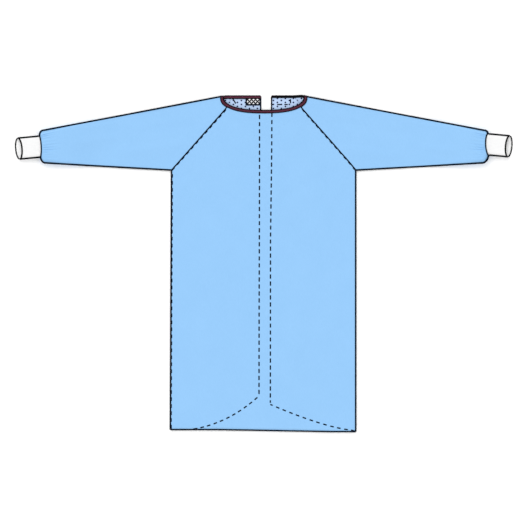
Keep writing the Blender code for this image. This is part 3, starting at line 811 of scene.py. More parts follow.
def gather_depth(shares, count):
    """Depth of the gathers at each ring and column: a raised cosine round the ring. Slower sines round it
    make the spacing, the depth and the length uneven."""
    place = 2 * math.pi * np.arange(count) / count
    phase = GATHERS * place + 1.3 * np.sin(3 * place) + 0.8 * np.sin(5 * place + 1.0)
    trough = (0.5 - 0.5 * np.cos(phase)) ** 1.6
    uneven = 0.72 + 0.28 * np.sin(4 * place + 2.0)
    reach = GATHER_REACH * (0.70 + 0.45 * np.sin(7 * place + 0.5) * np.cos(3 * place))
    strength = smooth((shares[:, None] - 1 + reach) / reach)
    return GATHER_DEPTH * strength * (trough * uneven)[None, :]


def sleeve_points(side):
    """All rings: the flat and puffed ones, a quarter of an ellipse round the end, and the collar. They lie
    closer together towards the body and the wrist."""
    steps = np.linspace(0.0, 1.0, SLEEVE_RINGS)
    shares = steps - RING_CROWDING * np.sin(2 * math.pi * steps) / (2 * math.pi)
    rings = sleeve_rings(shares, side["sign"])
    wrist = rings[-1]
    collar = collar_edge(side)
    move = collar - COLLAR_LENGTH * ALONG_CUFF - wrist
    along = (move @ ALONG_CUFF)[:, None] * ALONG_CUFF
    turns = np.radians(np.linspace(0.0, 90.0, 13))[1:, None, None]
    turned = wrist + along * np.sin(turns) + (move - along) * (1 - np.cos(turns))
    grid = np.concatenate([rings, turned, collar[None]])
    hold = np.concatenate([np.ones(len(shares)), np.linspace(1.0, GATHER_LEFT_AT_CUFF, len(turned)), [0.0]])
    shares = np.concatenate([shares, np.ones(len(turned) + 1)])
    depth = gather_depth(shares, grid.shape[1]) * hold[:, None]
    grid = grid - ring_normals(grid) * depth[..., None]
    grid[..., 2] = np.maximum(grid[..., 2], 0.0)
    return grid


# %% Sleeves
sleeve_grids = {}
for side in SIDES:
    points = sleeve_points(side)
    sleeve_grids[side["name"]] = points
    points, faces = mirrored(points, grid_faces(*points.shape[:2], ring=True), side["sign"])
    piece = make_piece("sleeve_cloth_" + side["name"], points, faces.tolist(), CLOTH)
    give_thickness(piece, CLOTH_THICKNESS)
    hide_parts("sleeve_" + side["name"])
    report(piece)

# %% [markdown]
# ## The knitted cuffs
# A cuff is a short tube of white rib knit. It stands a little open, and its lower lip reaches past its
# upper lip, which is why the mouth shows as an oval from above. The section is two flats and two half
# circles with ribs pressed into it, and the stitches themselves are left to the finish, which follows the
# UV map: metres along the cuff, and one for each rib round it.

# %% Ribbed tube
RIB_COUNT = 36
RIB_DEPTH = 0.0007
WALE_GROOVE = 0.00018
WALE_GROOVE_WIDTH = 0.09
POINTS_A_RIB = 10
KNIT_THICKNESS = 0.0012
STITCH = 0.0019


def oval(places, width, height):
    """Points at distances round a flattened oval, which is a flat, a half circle, a flat and a half circle,
    and the way out at each."""
    radius = height / 2
    flat = width - height
    bend = math.pi * radius
    stretches = [places < flat, places < flat + bend, places < 2 * flat + bend]
    turn = np.select(
        stretches,
        [math.pi / 2, math.pi / 2 - (places - flat) / radius, -math.pi / 2],
        -math.pi / 2 - (places - 2 * flat - bend) / radius,
    )
    middle = np.select(stretches, [places - flat / 2, flat / 2, flat * 1.5 + bend - places], -flat / 2)
    ways = np.stack([np.cos(turn), np.sin(turn)], axis=-1)
    return np.stack([middle, np.zeros_like(middle)], axis=-1) + radius * ways, ways


def cuff_lift(places):
    """How far the cuff is held up: most at the sleeve, and nothing a little way along."""
    return CUFF_LIFT * (1 - smooth(places / CUFF_LIFT_LENGTH))


def cuff_points(side, places, depth, count):
    """Rings at places along the cuff: across, along and up from the middle of the seam. Depth is inwards."""
    girth = 2 * (CUFF_WIDTH - CUFF_HEIGHT) + math.pi * CUFF_HEIGHT
    points, ways = oval(np.arange(count) * girth / count, CUFF_WIDTH, CUFF_HEIGHT)
    section = points - ways * np.reshape(depth, (-1, 1))
    share = (places + CUFF_IN_SLEEVE) / (CUFF_LENGTH + CUFF_IN_SLEEVE)
    bow = side["seam_bow"] + share * (MOUTH_BOW - side["seam_bow"])
    one_bow = seam_bow(points[:, 0], points[:, 1], CUFF_WIDTH / 2, 1.0)
    outwards = places[:, None] + bow[:, None] * one_bow
    rings = cuff_start(side) + section[None, :, :1] * ACROSS_CUFF + outwards[..., None] * ALONG_CUFF
    rings[..., 2] = CUFF_HEIGHT / 2 + section[:, 1] + cuff_lift(places)[:, None]
    return rings, ways


def knit(name, pale, painted_valley_shade):
    """White rib knit: V-shaped stitches in columns, and painted shade that darkens the valleys between the
    ribs.
    """
    finish = Finish(name, roughness=0.9, sheen=0.2)
    along, around, _ = finish.split(finish.on_cloth)
    valley = finish.math("SUBTRACT", 0.5, from_centre(finish, around, 1.0))
    lean = from_centre(finish, around, 0.5)
    wave = finish.math("ADD", finish.math("DIVIDE", along, STITCH), finish.math("MULTIPLY", lean, 2.4))
    stitches = finish.math("SINE", finish.math("MULTIPLY", wave, 2 * math.pi))
    fuzz = finish.noise(finish.place, 900.0, 3.0)
    # Painted shade: the colour turns grey in the valleys between the ribs, by up to the given share.
    shade = finish.fade(valley, 0.30, 0.5)
    colour = finish.mix(finish.math("MULTIPLY", shade, painted_valley_shade), (pale, pale, pale), (0.57, 0.58, 0.62))
    colour = finish.mix(finish.math("MULTIPLY", fuzz, 0.08), colour, (0.68, 0.69, 0.71))
    finish.colour(colour)
    height = finish.math("ADD", finish.math("MULTIPLY", stitches, 0.5), finish.math("MULTIPLY", fuzz, 0.5))
    finish.relief(height, 0.00022)
    return finish.material


# The inside is a paler copy of the same knit with less painted valley shade. This is painted light that lifts
# the shaded inside of the cuff's mouth.
KNIT = [knit("cuff_knit", 0.81, 0.18), knit("cuff_knit_inside_painted_light", 0.97, 0.05)]
ribs = np.arange(RIB_COUNT * POINTS_A_RIB) / POINTS_A_RIB
rib_depth = RIB_DEPTH * (1 - np.abs(np.cos(math.pi * ribs)) ** 0.7)
rib_depth += WALE_GROOVE * np.exp(-(((ribs + 0.5) % 1.0 - 0.5) / WALE_GROOVE_WIDTH) ** 2)
cuff_places = np.linspace(-CUFF_IN_SLEEVE, CUFF_LENGTH, 40)
for side in SIDES:
    points, _ = cuff_points(side, cuff_places, rib_depth, len(ribs))
    uv = grid_uv(cuff_places, np.arange(len(ribs) + 1) / POINTS_A_RIB)[:, :: int(side["sign"])]
    points, faces = mirrored(points, grid_faces(*points.shape[:2], ring=True), side["sign"])
    piece = make_piece("cuff_knit_" + side["name"], points, faces.tolist(), KNIT, uv)
    give_thickness(piece, KNIT_THICKNESS)
    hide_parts("cuff_" + side["name"])
    report(piece)

# %% [markdown]
# ## The neck binding
# A binding is one narrow strip folded over a raw edge and stitched down. This one runs from the back's left
# edge round the front of the neck to the back's right edge, over both shoulder folds. At each place along
# it three directions are enough: where the edge is, which way the opening lies, and which way is out of the
# cloth. The strip's section is carried along them.


# %% Path of the binding
def binding_half(edge_x):
    """The path's right half from the middle of the front: edge points, ways to the opening, ways out."""
    turns = np.radians(np.append(np.linspace(0.0, 89.0, 84), 89.6))
    here = front_neck_curve(turns)
    ahead = front_neck_curve(turns + 0.002) - front_neck_curve(np.maximum(turns - 0.002, 0.0))
    opening = unit(np.stack([-ahead[:, 1], ahead[:, 0]], axis=-1))
    front_z = np.full(len(turns), NECK_HEIGHT - WALL / 2)
    front = (
        np.column_stack([here + EDGE_ROOM * opening, front_z]),
        np.column_stack([opening, np.zeros(len(turns))]),
        np.tile(UP, (len(turns), 1)),
    )
    towards = np.append(-ALONG_SHOULDER, 0.0)
    axis = np.append(SHOULDER_AT_NECK, (NECK_HEIGHT + NECK_BASE) / 2) + EDGE_ROOM * towards
    round_fold = FOLD_TURNS[1:-1, None]
    out = np.cos(round_fold) * np.append(ABOVE_SHOULDER, 0.0) + np.sin(round_fold) * UP
    fold = (axis + (NECK_FOLD - WALL / 2) * out, np.tile(towards, (len(out), 1)), out)
    turns = np.linspace(SHOULDER_SLOPE, math.pi / 2, 9)
    opening = np.stack([-np.cos(turns), np.sin(turns), np.zeros(9)], axis=-1)
    corner = np.append(TURN_CENTRE, NECK_BASE + WALL / 2)
    back = (corner - BINDING_TURN * opening, opening, np.tile(-UP, (9, 1)))
    straight_x = np.linspace(back[0][-1, 0], edge_x, 30)[1:]
    along_back = np.column_stack([
        straight_x,
        np.full(29, BACK_NECK_RAW_Y + EDGE_ROOM),
        np.full(29, NECK_BASE + WALL / 2),
    ])
    straight = (along_back, np.tile([0.0, 1.0, 0.0], (29, 1)), np.tile(-UP, (29, 1)))
    return [np.concatenate(part) for part in zip(front, fold, back, straight)]


def whole_binding():
    """Both halves as one path from the back's left edge to its right edge."""
    left, right = [binding_half(side["back_edge_at_neck"]) for side in SIDES]
    flip = np.array([-1.0, 1.0, 1.0])
    return [np.concatenate([part[:0:-1] * flip, other]) for part, other in zip(left, right)]


edge_line, to_opening, way_out = whole_binding()
along_strip = lengths_along(edge_line)
binding_length = along_strip[-1]
# On the right back the strip is turned in further, so less of it shows
RIGHT_BACK_LENGTH = 0.130
TURN_IN_LENGTH = 0.008
TURNED_IN = 0.36
turned_in = ramp(along_strip, binding_length - RIGHT_BACK_LENGTH, TURN_IN_LENGTH)
strip_share = 1 - TURNED_IN * turned_in
print("binding length along its edge: %.3f m" % binding_length)


# %% The strip
STRIP_CROWN = 0.0003
STRIP_THICKNESS = 0.0005


def binding_section():
    """The folded strip: distance into the cloth and height from its middle, both flats a little crowned."""
    into = np.linspace(BINDING_WIDTH, 0.0, 8)
    crown = STRIP_CROWN * np.sin(math.pi * into / BINDING_WIDTH)
    turns = np.radians(np.linspace(75, -75, 7))
    bend = np.column_stack([-BINDING_WALL * np.cos(turns), BINDING_RISE * np.sin(turns)])
    upper = np.column_stack([into, BINDING_RISE + crown])
    lower = np.column_stack([into[::-1], -BINDING_RISE - crown[::-1]])
    return np.concatenate([upper, bend, lower])


def woven(name, deep, pale, pitch, roughness, sheen):
    """A plain weave: raised squares in turn along and across, with the colour a little uneven."""
    finish = Finish(name, roughness, sheen)
    along, across, _ = finish.split(finish.on_cloth)
    warp = finish.math("SINE", finish.math("MULTIPLY", along, 2 * math.pi / pitch))
    weft = finish.math("SINE", finish.math("MULTIPLY", across, 2 * math.pi / pitch))
    weave = finish.math("MULTIPLY", warp, weft)
    uneven = finish.noise(finish.place, 90.0, 3.0)
    share = finish.math("ADD", finish.math("MULTIPLY", uneven, 0.7), finish.math("MULTIPLY", weave, 0.15))
    finish.colour(finish.mix(finish.fade(share, 0.15, 0.6), deep, pale))
    finish.relief(weave, 0.0002)
    return finish.material


def strip_points(section):
    """The section carried along the binding's path: edge, minus into times opening, plus height times out."""
    into, height = section[None, :, :1], section[None, :, 1:]
    into = np.where(into > 0, into * strip_share[:, None, None], into)
    return edge_line[:, None] - into * to_opening[:, None] + height * way_out[:, None]


section = binding_section()
points = strip_points(section)
points[..., 2] = np.maximum(points[..., 2], 0.0)
round_strip = lengths_along(section)
BINDING_CLOTH = woven("binding_cloth", (0.050, 0.004, 0.017), (0.096, 0.007, 0.031), 0.0009, 0.7, 0.12)
faces = grid_faces(*points.shape[:2]).tolist()
binding = make_piece("binding_cloth", points, faces, [BINDING_CLOTH], grid_uv(along_strip, round_strip))
give_thickness(binding, STRIP_THICKNESS)
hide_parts("neck_binding")
report(binding)

# %% [markdown]
# ## Thread along the seams
# Every edge of the gown is finished with dark navy thread, and it draws the garment's lines: the hem, the
# sides, the sleeves, the raglan seams and the backs' free edges. A line of stitches is an oval section
# carried along a path. At each point of the path there are two ways across it: up, which the caller gives,
# and aside, which is the path's own direction turned by it. A ripple along the thread makes it look
# twisted.

# %% Carrying a section along a path
THREAD_PITCH = 0.0052
THREAD_STEP = 0.0013
RIPPLE = 0.10
TAPER_LENGTH = 0.0016
BLUNT_TIP = 0.0003


def even_path(points, ups, closed=False):
    """The path and its up directions read again at even steps along its length, with those lengths."""
    points = np.asarray(points, dtype=float)
    ups = np.broadcast_to(np.asarray(ups, dtype=float), points.shape)
    if closed:
        points, ups = [np.concatenate([part, part[:1]]) for part in (points, ups)]
    lengths = lengths_along(points)
    places = np.linspace(0.0, lengths[-1], max(round(lengths[-1] / THREAD_STEP), 3) + 1)
    places = places[:-1] if closed else places
    both = np.concatenate([points, ups], axis=1)
    read = np.stack([np.interp(places, lengths, column) for column in both.T], axis=-1)
    return read[:, :3], read[:, 3:], places


def carried(path, ups, sections, closed=False):
    """Points at path + aside * first + up * second, where aside is the path's direction crossed with up."""
    along = np.roll(path, -1, axis=0) - np.roll(path, 1, axis=0) if closed else np.gradient(path, axis=0)
    aside = unit(np.cross(along, ups))
    square_up = unit(np.cross(aside, along))
    return path[:, None] + aside[:, None] * sections[..., :1] + square_up[:, None] * sections[..., 1:]


def thread_mesh(points, places, closed, sign):
    """Points, faces and UVs of one thread. Its ends are closed by a cap of one face each."""
    rows, count = points.shape[:2]
    around = np.arange(count + 1) / count
    along = np.append(places, places[-1] + THREAD_STEP) if closed else places
    faces = grid_faces(rows, count, ring=True, loop=closed).tolist()
    uv = grid_uv(along, around).reshape(-1, 2)
    if not closed:
        last = (rows - 1) * count
        faces += [list(range(count)), list(range(last + count - 1, last - 1, -1))]
        uv = np.concatenate([uv, np.zeros((2 * count, 2))])
    if sign < 0:
        faces = [face[::-1] for face in faces]
    return points.reshape(-1, 3) * np.array([sign, 1.0, 1.0]), faces, uv


def thread(path, ups, wide, high, closed=False, sign=1.0, count=8):
    """An oval section, rippled along its length and tapered at its ends, carried along the path."""
    path, ups, places = even_path(path, ups, closed)
    turns = 2 * math.pi * np.arange(count) / count
    swell = 1 + RIPPLE * np.cos(2 * math.pi * places[:, None] / THREAD_PITCH + turns)
    if not closed:
        from_end = np.minimum(places, places[-1] - places)
        swell = swell * np.sqrt(np.clip((from_end + BLUNT_TIP) / TAPER_LENGTH, 0.0, 1.0))[:, None]
    sections = np.stack([swell * wide / 2 * np.cos(turns), swell * high / 2 * np.sin(turns)], axis=-1)
    return thread_mesh(carried(path, ups, sections, closed), places, closed, sign)


def dashes(path, ups, wide, high, length, repeat, sign):
    """Long running stitches: the path cut into dashes, one a repeat, each a thread of its own."""
    path, ups, places = even_path(path, ups)
    starts = np.arange(0.0, places[-1] - length / 3, repeat)
    parts = [(places >= start) & (places <= start + length) for start in starts]
    return [thread(path[part], ups[part], wide, high, sign=sign) for part in parts if part.sum() > 3]


def sew(name, threads, finish):
    """Joins threads into one piece."""
    faces, start = [], 0
    for points, part, _ in threads:
        faces += [[corner + start for corner in face] for face in part]
        start += len(points)
    points = np.concatenate([points for points, _, _ in threads])
    uv = np.concatenate([uv for _, _, uv in threads])
    piece = make_piece(name, points, faces, [finish], uv)
    report(piece)
    return piece


TWIST = 0.0016


def twisted(name, deep, pale):
    """Thread: grooves that wind round it, darkened in colour by painted shade, with a soft sheen."""
    finish = Finish(name, roughness=0.8, gloss=0.04)
    along, around, _ = finish.split(finish.on_cloth)
    winding = finish.math("ADD", finish.math("DIVIDE", along, TWIST), finish.math("MULTIPLY", around, 3.0))
    groove = finish.math("SINE", finish.math("MULTIPLY", winding, 2 * math.pi))
    fuzz = finish.noise(finish.place, 1400.0, 2.0)
    # Painted shade: the colour is darker in the winding grooves, and the fuzz adds random tone.
    share = finish.math("ADD", finish.math("MULTIPLY", groove, 0.35), finish.math("MULTIPLY", fuzz, 0.6))
    finish.colour(finish.mix(finish.fade(share, -0.1, 0.8), deep, pale))
    finish.relief(groove, 0.00025)
    return finish.material


NAVY_THREAD = twisted("navy_thread", (0.0005, 0.002, 0.008), (0.003, 0.009, 0.024))
BLACK_THREAD = twisted("black_thread", (0.0010, 0.0010, 0.0015), (0.006, 0.006, 0.008))
PALE_THREAD = twisted("pale_thread", (0.42, 0.54, 0.76), (0.50, 0.61, 0.83))
SEAM_WIDTH = 0.0054
HEM_WIDTH = 0.0061

# %% [markdown]
# ## Hem, sides and backs
# The raw edges of the front's hem and of the two backs are overlocked: the thread wraps the edge, so its
# path is the edge itself. The paths are read from the same functions as the cloth, so thread and cloth
# can't part.

# %% Edges of the body
HEM_HIGH = 0.0018
BACK_EDGE_HIGH = 0.0014
hem = front_points()[:, 0] - np.array([0.0, 0.0, CLOTH_THICKNESS / 2])
hem_ups = unit(np.cross(np.gradient(hem, axis=0), [0.0, 1.0, 0.0]))
hem_edging = sew("hem_edging", [thread(hem, hem_ups, HEM_WIDTH, HEM_HIGH)], NAVY_THREAD)

back_threads = []
for side in SIDES:
    grid = back_points(side)
    lift = np.array([0.0, 0.0, BACK_EDGE_HIGH / 2 * (1 + RIPPLE)])
    for edge in (grid[ROUND_POINTS - 2:, 0], grid[-1]):
        back_threads.append(thread(edge + lift, UP, SEAM_WIDTH, BACK_EDGE_HIGH, sign=side["sign"]))
back_edging = sew("back_edging", back_threads, NAVY_THREAD)

# %% [markdown]
# ## Folded edges
# The sides and the sleeves end in folds. There the thread is a crescent on the fold: an outer arc that
# swells in the middle, and an inner arc just inside the cloth. Its width seen from above and its height
# seen from the side stay the same while the fold's radius grows from 3 mm on the body to 15 mm at the
# wrist, so both its angles are worked out from them.

# %% Crescents round folds
CRESCENT_SEEN = 0.0060
CRESCENT_INWARDS = 0.0028
CRESCENT_TALL = 0.0060
CLEAR_OF_CLOTH = 0.0002
INTO_CLOTH = 0.0004


def crescent(path, radius, outward=1.0, sign=1.0, inwards=CRESCENT_INWARDS):
    """A thread on a fold. Its upper angle t gives radius * (1 - cos t) = how far it reaches in over the fold,
    and its lower angle lies below that by the thread's height."""
    lengths = lengths_along(path)
    path, ups, places = even_path(path, UP)
    radius = np.interp(places, lengths, radius)[:, None]
    high = np.arccos(1 - inwards / radius)
    low = np.arcsin(np.clip(np.sin(high) - CRESCENT_TALL / radius, -1.0, 1.0))
    middle, half = (high + low) / 2, (high - low) / 2
    swell = (radius + CRESCENT_SEEN - inwards) / np.cos(middle) - radius
    outer, inner = np.linspace(-1.0, 1.0, 7)[None], np.array([[0.6, 0.0, -0.6]])
    ripple = 1 + RIPPLE * np.cos(2 * math.pi * places[:, None] / THREAD_PITCH + 2 * outer)
    outer_reach = radius + CLEAR_OF_CLOTH + swell * ripple * np.cos(outer * math.pi / 2) ** 0.8
    turns = middle + half * np.concatenate([outer, inner], axis=1)
    reach = np.concatenate([outer_reach, np.broadcast_to(radius - INTO_CLOTH, (len(places), 3))], axis=1)
    aside = outward * (reach * np.cos(turns) - radius)
    sections = np.stack([aside, reach * np.sin(turns)], axis=-1)
    if outward < 0:
        sections = sections[:, ::-1]
    return thread_mesh(carried(path, ups, sections), places, False, sign)


side_threads = []
sleeve_threads = []
for side in SIDES:
    sign = side["sign"]
    y = np.linspace(hem_y(sign * HALF_WIDTH), UNDERARM[1], 60)
    line = np.column_stack([np.full(60, HALF_WIDTH), y, np.full(60, SIDE_RADIUS)])
    side_threads.append(crescent(line, np.full(60, SIDE_RADIUS), sign=sign, inwards=side["edging_inwards"]))
    rings = sleeve_grids[side["name"]]
    half_height = (rings[..., 2].max(axis=1) - rings[..., 2].min(axis=1)) / 2
    shoulder = rings[:, len(FOLD_TURNS) // 2]
    below = rings[:, len(FOLD_TURNS) + LAYER_POINTS + len(FOLD_TURNS) // 2]
    sleeve_threads.append(crescent(shoulder[1:], half_height[1:], outward=-1.0, sign=sign))
    sleeve_threads.append(crescent(below, half_height, sign=sign))
side_edging = sew("side_edging", side_threads, NAVY_THREAD)
sleeve_edging = sew("sleeve_edging", sleeve_threads, NAVY_THREAD)

# %% [markdown]
# ## Raglan seams
# The raglan seam joins the sleeve to the body in a straight line from the underarm to the neck. On the
# front it shows as a dark raised line. The back's seam is sewn with pale thread and shows only inside the
# neck.

# %% Raglan threads
RAGLAN_HIGH = 0.0013
ALLOWANCE_FROM = 0.15
PALE_WIDE = 0.0016
PALE_HIGH = 0.0010


def raglan_line(side, share):
    """Places along the front seam, from the underarm to the neck, laid over a little towards the sleeve."""
    at = UNDERARM + share * (FRONT_SEAM_AT_NECK - UNDERARM)
    return at + side["seam_allowance"] * smooth(share / ALLOWANCE_FROM) * FRONT_SEAM.to_sleeve


raglan_threads = []
back_raglan_threads = []
for side in SIDES:
    sign = side["sign"]
    share = np.linspace(0.0, 1.0, 60)[:, None]
    at = raglan_line(side, share)
    z = front_height(sign * at[:, 0], at[:, 1])
    raglan_threads.append(thread(np.column_stack([at, z]), UP, SEAM_WIDTH, RAGLAN_HIGH, sign=sign))
    at = UNDERARM + np.linspace(0.02, 1.0, 40)[:, None] * (BACK_SEAM.neck - UNDERARM)
    at = np.column_stack([at, base_height(at[:, 0], at[:, 1]) + PALE_HIGH])
    back_raglan_threads.append(thread(at, UP, PALE_WIDE, PALE_HIGH, sign=sign, count=6))
raglan_stitching = sew("raglan_stitching", raglan_threads, NAVY_THREAD)
back_raglan_stitching = sew("back_raglan_stitching", back_raglan_threads, PALE_THREAD)

# %% [markdown]
# ## Running stitches
# Broken lines run over the front where the backs' edges lie below it, down the middle and along the curved
# hems, and beside the left side seam and the raglan seams. They are long running stitches of 16 to 18 mm,
# one every 26 mm, so the path is cut into dashes and each dash is a short thread.

# %% Dashed lines
DASH_WIDE = 0.0052
DASH_HIGH = 0.0010
DASH_LENGTH = 0.0156
DASH_REPEAT = 0.0261
ABOVE_CLOTH = 0.0001
dash_threads = []


def on_front(x, y, sign):
    """A path on the upper layer's outer face, in own-side coordinates."""
    return np.column_stack([x, y, front_height(sign * x, y) + ABOVE_CLOTH])


def front_dashes(x, y, sign, repeat=DASH_REPEAT, length=DASH_LENGTH, high=DASH_HIGH):
    """Dashes along x and y on the front, added to the list."""
    dash_threads.extend(dashes(on_front(x, y, sign), UP, DASH_WIDE, high, length, repeat, sign))


MIDDLE_LINES = (
    # heights from the neck down, the line's distance from the gown's middle at each, and its repeat
    ((0.5512, 0.3600, -0.2000, -0.5000), (0.0158, 0.0158, 0.0172, 0.0175), 0.02621),
    ((0.5590, 0.4000, 0.0900, -0.5200), (0.0304, 0.0294, 0.0252, 0.0245), 0.02608),
)
MIDDLE_LENGTH = 0.0178
HEM_LINES = (
    # where the dashes along the curved hem start, and their repeat
    (0.2615, 0.0252),
    (0.3405, 0.0268),
)
RAGLAN_DASH_HIGH = 0.0014
for side, (line_y, line_x, repeat), (hem_from, hem_repeat) in zip(SIDES, MIDDLE_LINES, HEM_LINES):
    sign = side["sign"]
    hem_curve = back_points(side)[:, 0]
    low_end = hem_curve[-1, 1] + DASH_WIDE
    y = np.linspace(line_y[0], low_end, 300)
    front_dashes(np.interp(-y, np.negative(line_y), line_x), y, sign, repeat, MIDDLE_LENGTH)
    curve = hem_curve[hem_curve[:, 0] < hem_from]
    front_dashes(curve[:, 0], curve[:, 1], sign, hem_repeat)
    share = np.linspace(0.0, 0.985, 60)[:, None]
    beside, gained = side["dashes_beside_raglan"]
    at = raglan_line(side, share) - (beside + gained * share) * FRONT_SEAM.to_sleeve
    front_dashes(*at.T, sign, high=RAGLAN_DASH_HIGH)

# %% Dashes beside the left side seam
LEFT_DASHES_IN = 0.0028
LEFT_DASH_WIDE = 0.0042
LEFT_DASH_REPEAT = 0.02597
FROM_HEM = 0.0020
FROM_UNDERARM = 0.012
round_side = math.acos(1 - LEFT_DASHES_IN / SIDE_RADIUS)
y = np.linspace(hem_y(-HALF_WIDTH) + FROM_HEM, UNDERARM[1] - FROM_UNDERARM, 200)
line = on_front(np.full(200, HALF_WIDTH - LEFT_DASHES_IN), y, -1.0)
line[:, 2] -= SIDE_RADIUS * (1 - math.sin(round_side))
dash_threads += dashes(line, UP, LEFT_DASH_WIDE, DASH_HIGH, DASH_LENGTH, LEFT_DASH_REPEAT, -1.0)
running_stitches = sew("running_stitches", dash_threads, NAVY_THREAD)

# %% [markdown]
# ## Stitching on the binding
# Two rows of near-black stitches hold the binding, one along its folded edge and one along its inner edge,
# on both faces of the cloth. Between them the maroon strip shows as a band.

# %% Binding threads
BINDING_ROW_WIDE = 0.0042
BINDING_ROW_HIGH = 0.0010
BINDING_ROWS_AT = (0.0002, BINDING_WIDTH - 0.0008)
THIRD_ROW_AT = 0.0031
THIRD_ROW_WIDE = 0.0036
NARROW_FROM = 0.94
binding_threads = []
for into in BINDING_ROWS_AT:
    for face in (1.0, -1.0):
        inwards = into * strip_share[:, None] * to_opening
        path = edge_line - inwards + face * (BINDING_RISE - ABOVE_CLOTH) * way_out
        path[:, 2] = np.maximum(path[:, 2], BINDING_ROW_HIGH / 2)
        binding_threads.append(thread(path, face * way_out, BINDING_ROW_WIDE, BINDING_ROW_HIGH, count=7))
# A third row fills the narrow band that is left of the strip on the right back
narrow = turned_in > NARROW_FROM
path = edge_line[narrow] - THIRD_ROW_AT * to_opening[narrow] - (BINDING_RISE + ABOVE_CLOTH) * way_out[narrow]
binding_threads.append(thread(path, UP, THIRD_ROW_WIDE, BINDING_ROW_HIGH, count=7))
binding_stitching = sew("binding_stitching", binding_threads, BLACK_THREAD)

# %% [markdown]
# ## Thread on the cuffs
# A dark seam joins sleeve and cuff, the open end is overlocked, and a fine line runs down each folded side.

# %% Cuff threads
CUFF_SEAM_WIDE, CUFF_SEAM_HIGH = 0.0052, 0.0026
MOUTH_WIDE, MOUTH_HIGH = 0.0066, 0.0028
MOUTH_POINTS = 120
CUFF_LINE_START = 0.0004
CUFF_LINE_INWARDS = 0.0034
cuff_threads = {"navy": [], "black": []}
for side in SIDES:
    sign = side["sign"]
    seam = collar_edge(side)
    centre = seam.mean(axis=0)
    across = (seam - centre) @ ACROSS_CUFF
    flat_part = CUFF_WIDTH / 2 - CUFF_HEIGHT / 2
    ups = seam - centre - np.clip(across, -flat_part, flat_part)[:, None] * ACROSS_CUFF
    ups = ups - (ups @ ALONG_CUFF)[:, None] * ALONG_CUFF
    seam_thread = thread(seam, unit(ups), CUFF_SEAM_WIDE, CUFF_SEAM_HIGH, closed=True, sign=sign)
    cuff_threads["navy"].append(seam_thread)
    depth = np.full(MOUTH_POINTS, KNIT_THICKNESS / 2)
    mouth, ways = cuff_points(side, np.array([CUFF_LENGTH]), depth, MOUTH_POINTS)
    ups = ways[:, :1] * ACROSS_CUFF + ways[:, 1:] * UP
    cuff_threads["black"].append(thread(mouth[0], ups, MOUTH_WIDE, MOUTH_HIGH, closed=True, sign=sign))
    for way in (1.0, -1.0):
        start = CUFF_LINE_START + side["seam_lean"] * (1 - way) / 2
        place = np.linspace(start, CUFF_LENGTH, 20)[:, None]
        line = cuff_start(side) + way * CUFF_WIDTH / 2 * ACROSS_CUFF + place * ALONG_CUFF
        line[:, 2] = CUFF_HEIGHT / 2 + cuff_lift(place[:, 0])
        radius = np.full(len(line), CUFF_HEIGHT / 2)
        fold_line = crescent(line, radius, outward=-way, sign=sign, inwards=CUFF_LINE_INWARDS)
        cuff_threads["black"].append(fold_line)
cuff_seams = sew("cuff_seams", cuff_threads["navy"], NAVY_THREAD)
cuff_edging = sew("cuff_edging", cuff_threads["black"], BLACK_THREAD)

# %% [markdown]
# ## Hook and loop
# The neck closes with a short hook strip on the left back's inner face and a longer loop strip below the
# right back. The hook strip is white with dark knots in crossing slanted rows, and it carries some three
# hundred and fifty small hooks. One hook is worked out once and repeated by adding its place to its points.

# %% Tapes
TAPE_TOP_Y = 0.6090
TAPE_WIDTH = 0.0195
HOOK_TAPE = {"from_x": -0.0655, "to_x": -0.0125, "bottom": NECK_BASE + WALL + GAP, "thickness": 0.0014}
LOOP_TAPE = {"from_x": 0.0305, "to_x": 0.1010, "bottom": 0.0, "thickness": 0.0010}
CROSS_REPEAT = 0.0149
CROSS_AT = (-0.05306, 0.60261)
KNOT_RADIUS = 0.0031
END_DRAW = 0.06
END_DRAW_LENGTH = 0.0012
TAPE_MIDDLE_Y = TAPE_TOP_Y - TAPE_WIDTH / 2


def hook_white():
    """White ground with dark knots along slanted rows. With s = x + y and t = x - y, both from a crossing
    and divided by the repeat, a rising row has t whole and its knots at every half of s, and a falling one
    the other way round."""
    finish = Finish("hook_tape_woven", roughness=0.55, sheen=0.1)
    x, y, _ = finish.split(finish.place)
    x, y = finish.math("SUBTRACT", x, CROSS_AT[0]), finish.math("SUBTRACT", y, CROSS_AT[1])
    s, t = [finish.math("DIVIDE", finish.math(way, x, y), CROSS_REPEAT) for way in ("ADD", "SUBTRACT")]
    away = [
        finish.away(from_centre(finish, along, 0.5, 0.5), from_centre(finish, beside, 1.0, 0.5))
        for along, beside in ((s, t), (t, s))
    ]
    radius = KNOT_RADIUS * math.sqrt(2) / CROSS_REPEAT
    knots = finish.fade(finish.math("MINIMUM", *away), radius + 0.02, radius - 0.02)
    fuzz = finish.noise(finish.place, 1500.0, 2.0)
    white = finish.mix(fuzz, (0.84, 0.84, 0.86), (0.92, 0.92, 0.93))
    finish.colour(finish.mix(knots, white, (0.006, 0.006, 0.010)))
    finish.relief(finish.math("ADD", fuzz, knots), 0.0002)
    return finish.material


def tape_points(tape):
    """A rounded slab: an oval with very full corners carried along x, drawn in a little at its two ends."""
    half = tape["thickness"] / 2
    x = np.linspace(tape["from_x"], tape["to_x"], 60)
    from_end = np.minimum(x - x[0], x[-1] - x)
    draw = 1 - END_DRAW + END_DRAW * smooth(from_end / END_DRAW_LENGTH)
    turns = 2 * math.pi * np.arange(32) / 32
    across = TAPE_WIDTH / 2 * np.sign(np.cos(turns)) * np.abs(np.cos(turns)) ** 0.25
    up = half * np.sign(np.sin(turns)) * np.abs(np.sin(turns)) ** 0.4
    y = TAPE_MIDDLE_Y - across * draw[:, None]
    z = tape["bottom"] + half + up * draw[:, None]
    return np.stack([np.broadcast_to(x[:, None], y.shape), y, z], axis=-1), x


def tape_piece(name, tape, node, finish):
    """A tape with a cap at each end."""
    points, x = tape_points(tape)
    points, faces, uv = thread_mesh(points, x - x[0], closed=False, sign=1.0)
    piece = make_piece(name, points, faces, [finish], uv)
    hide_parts(node)
    report(piece)
    return piece


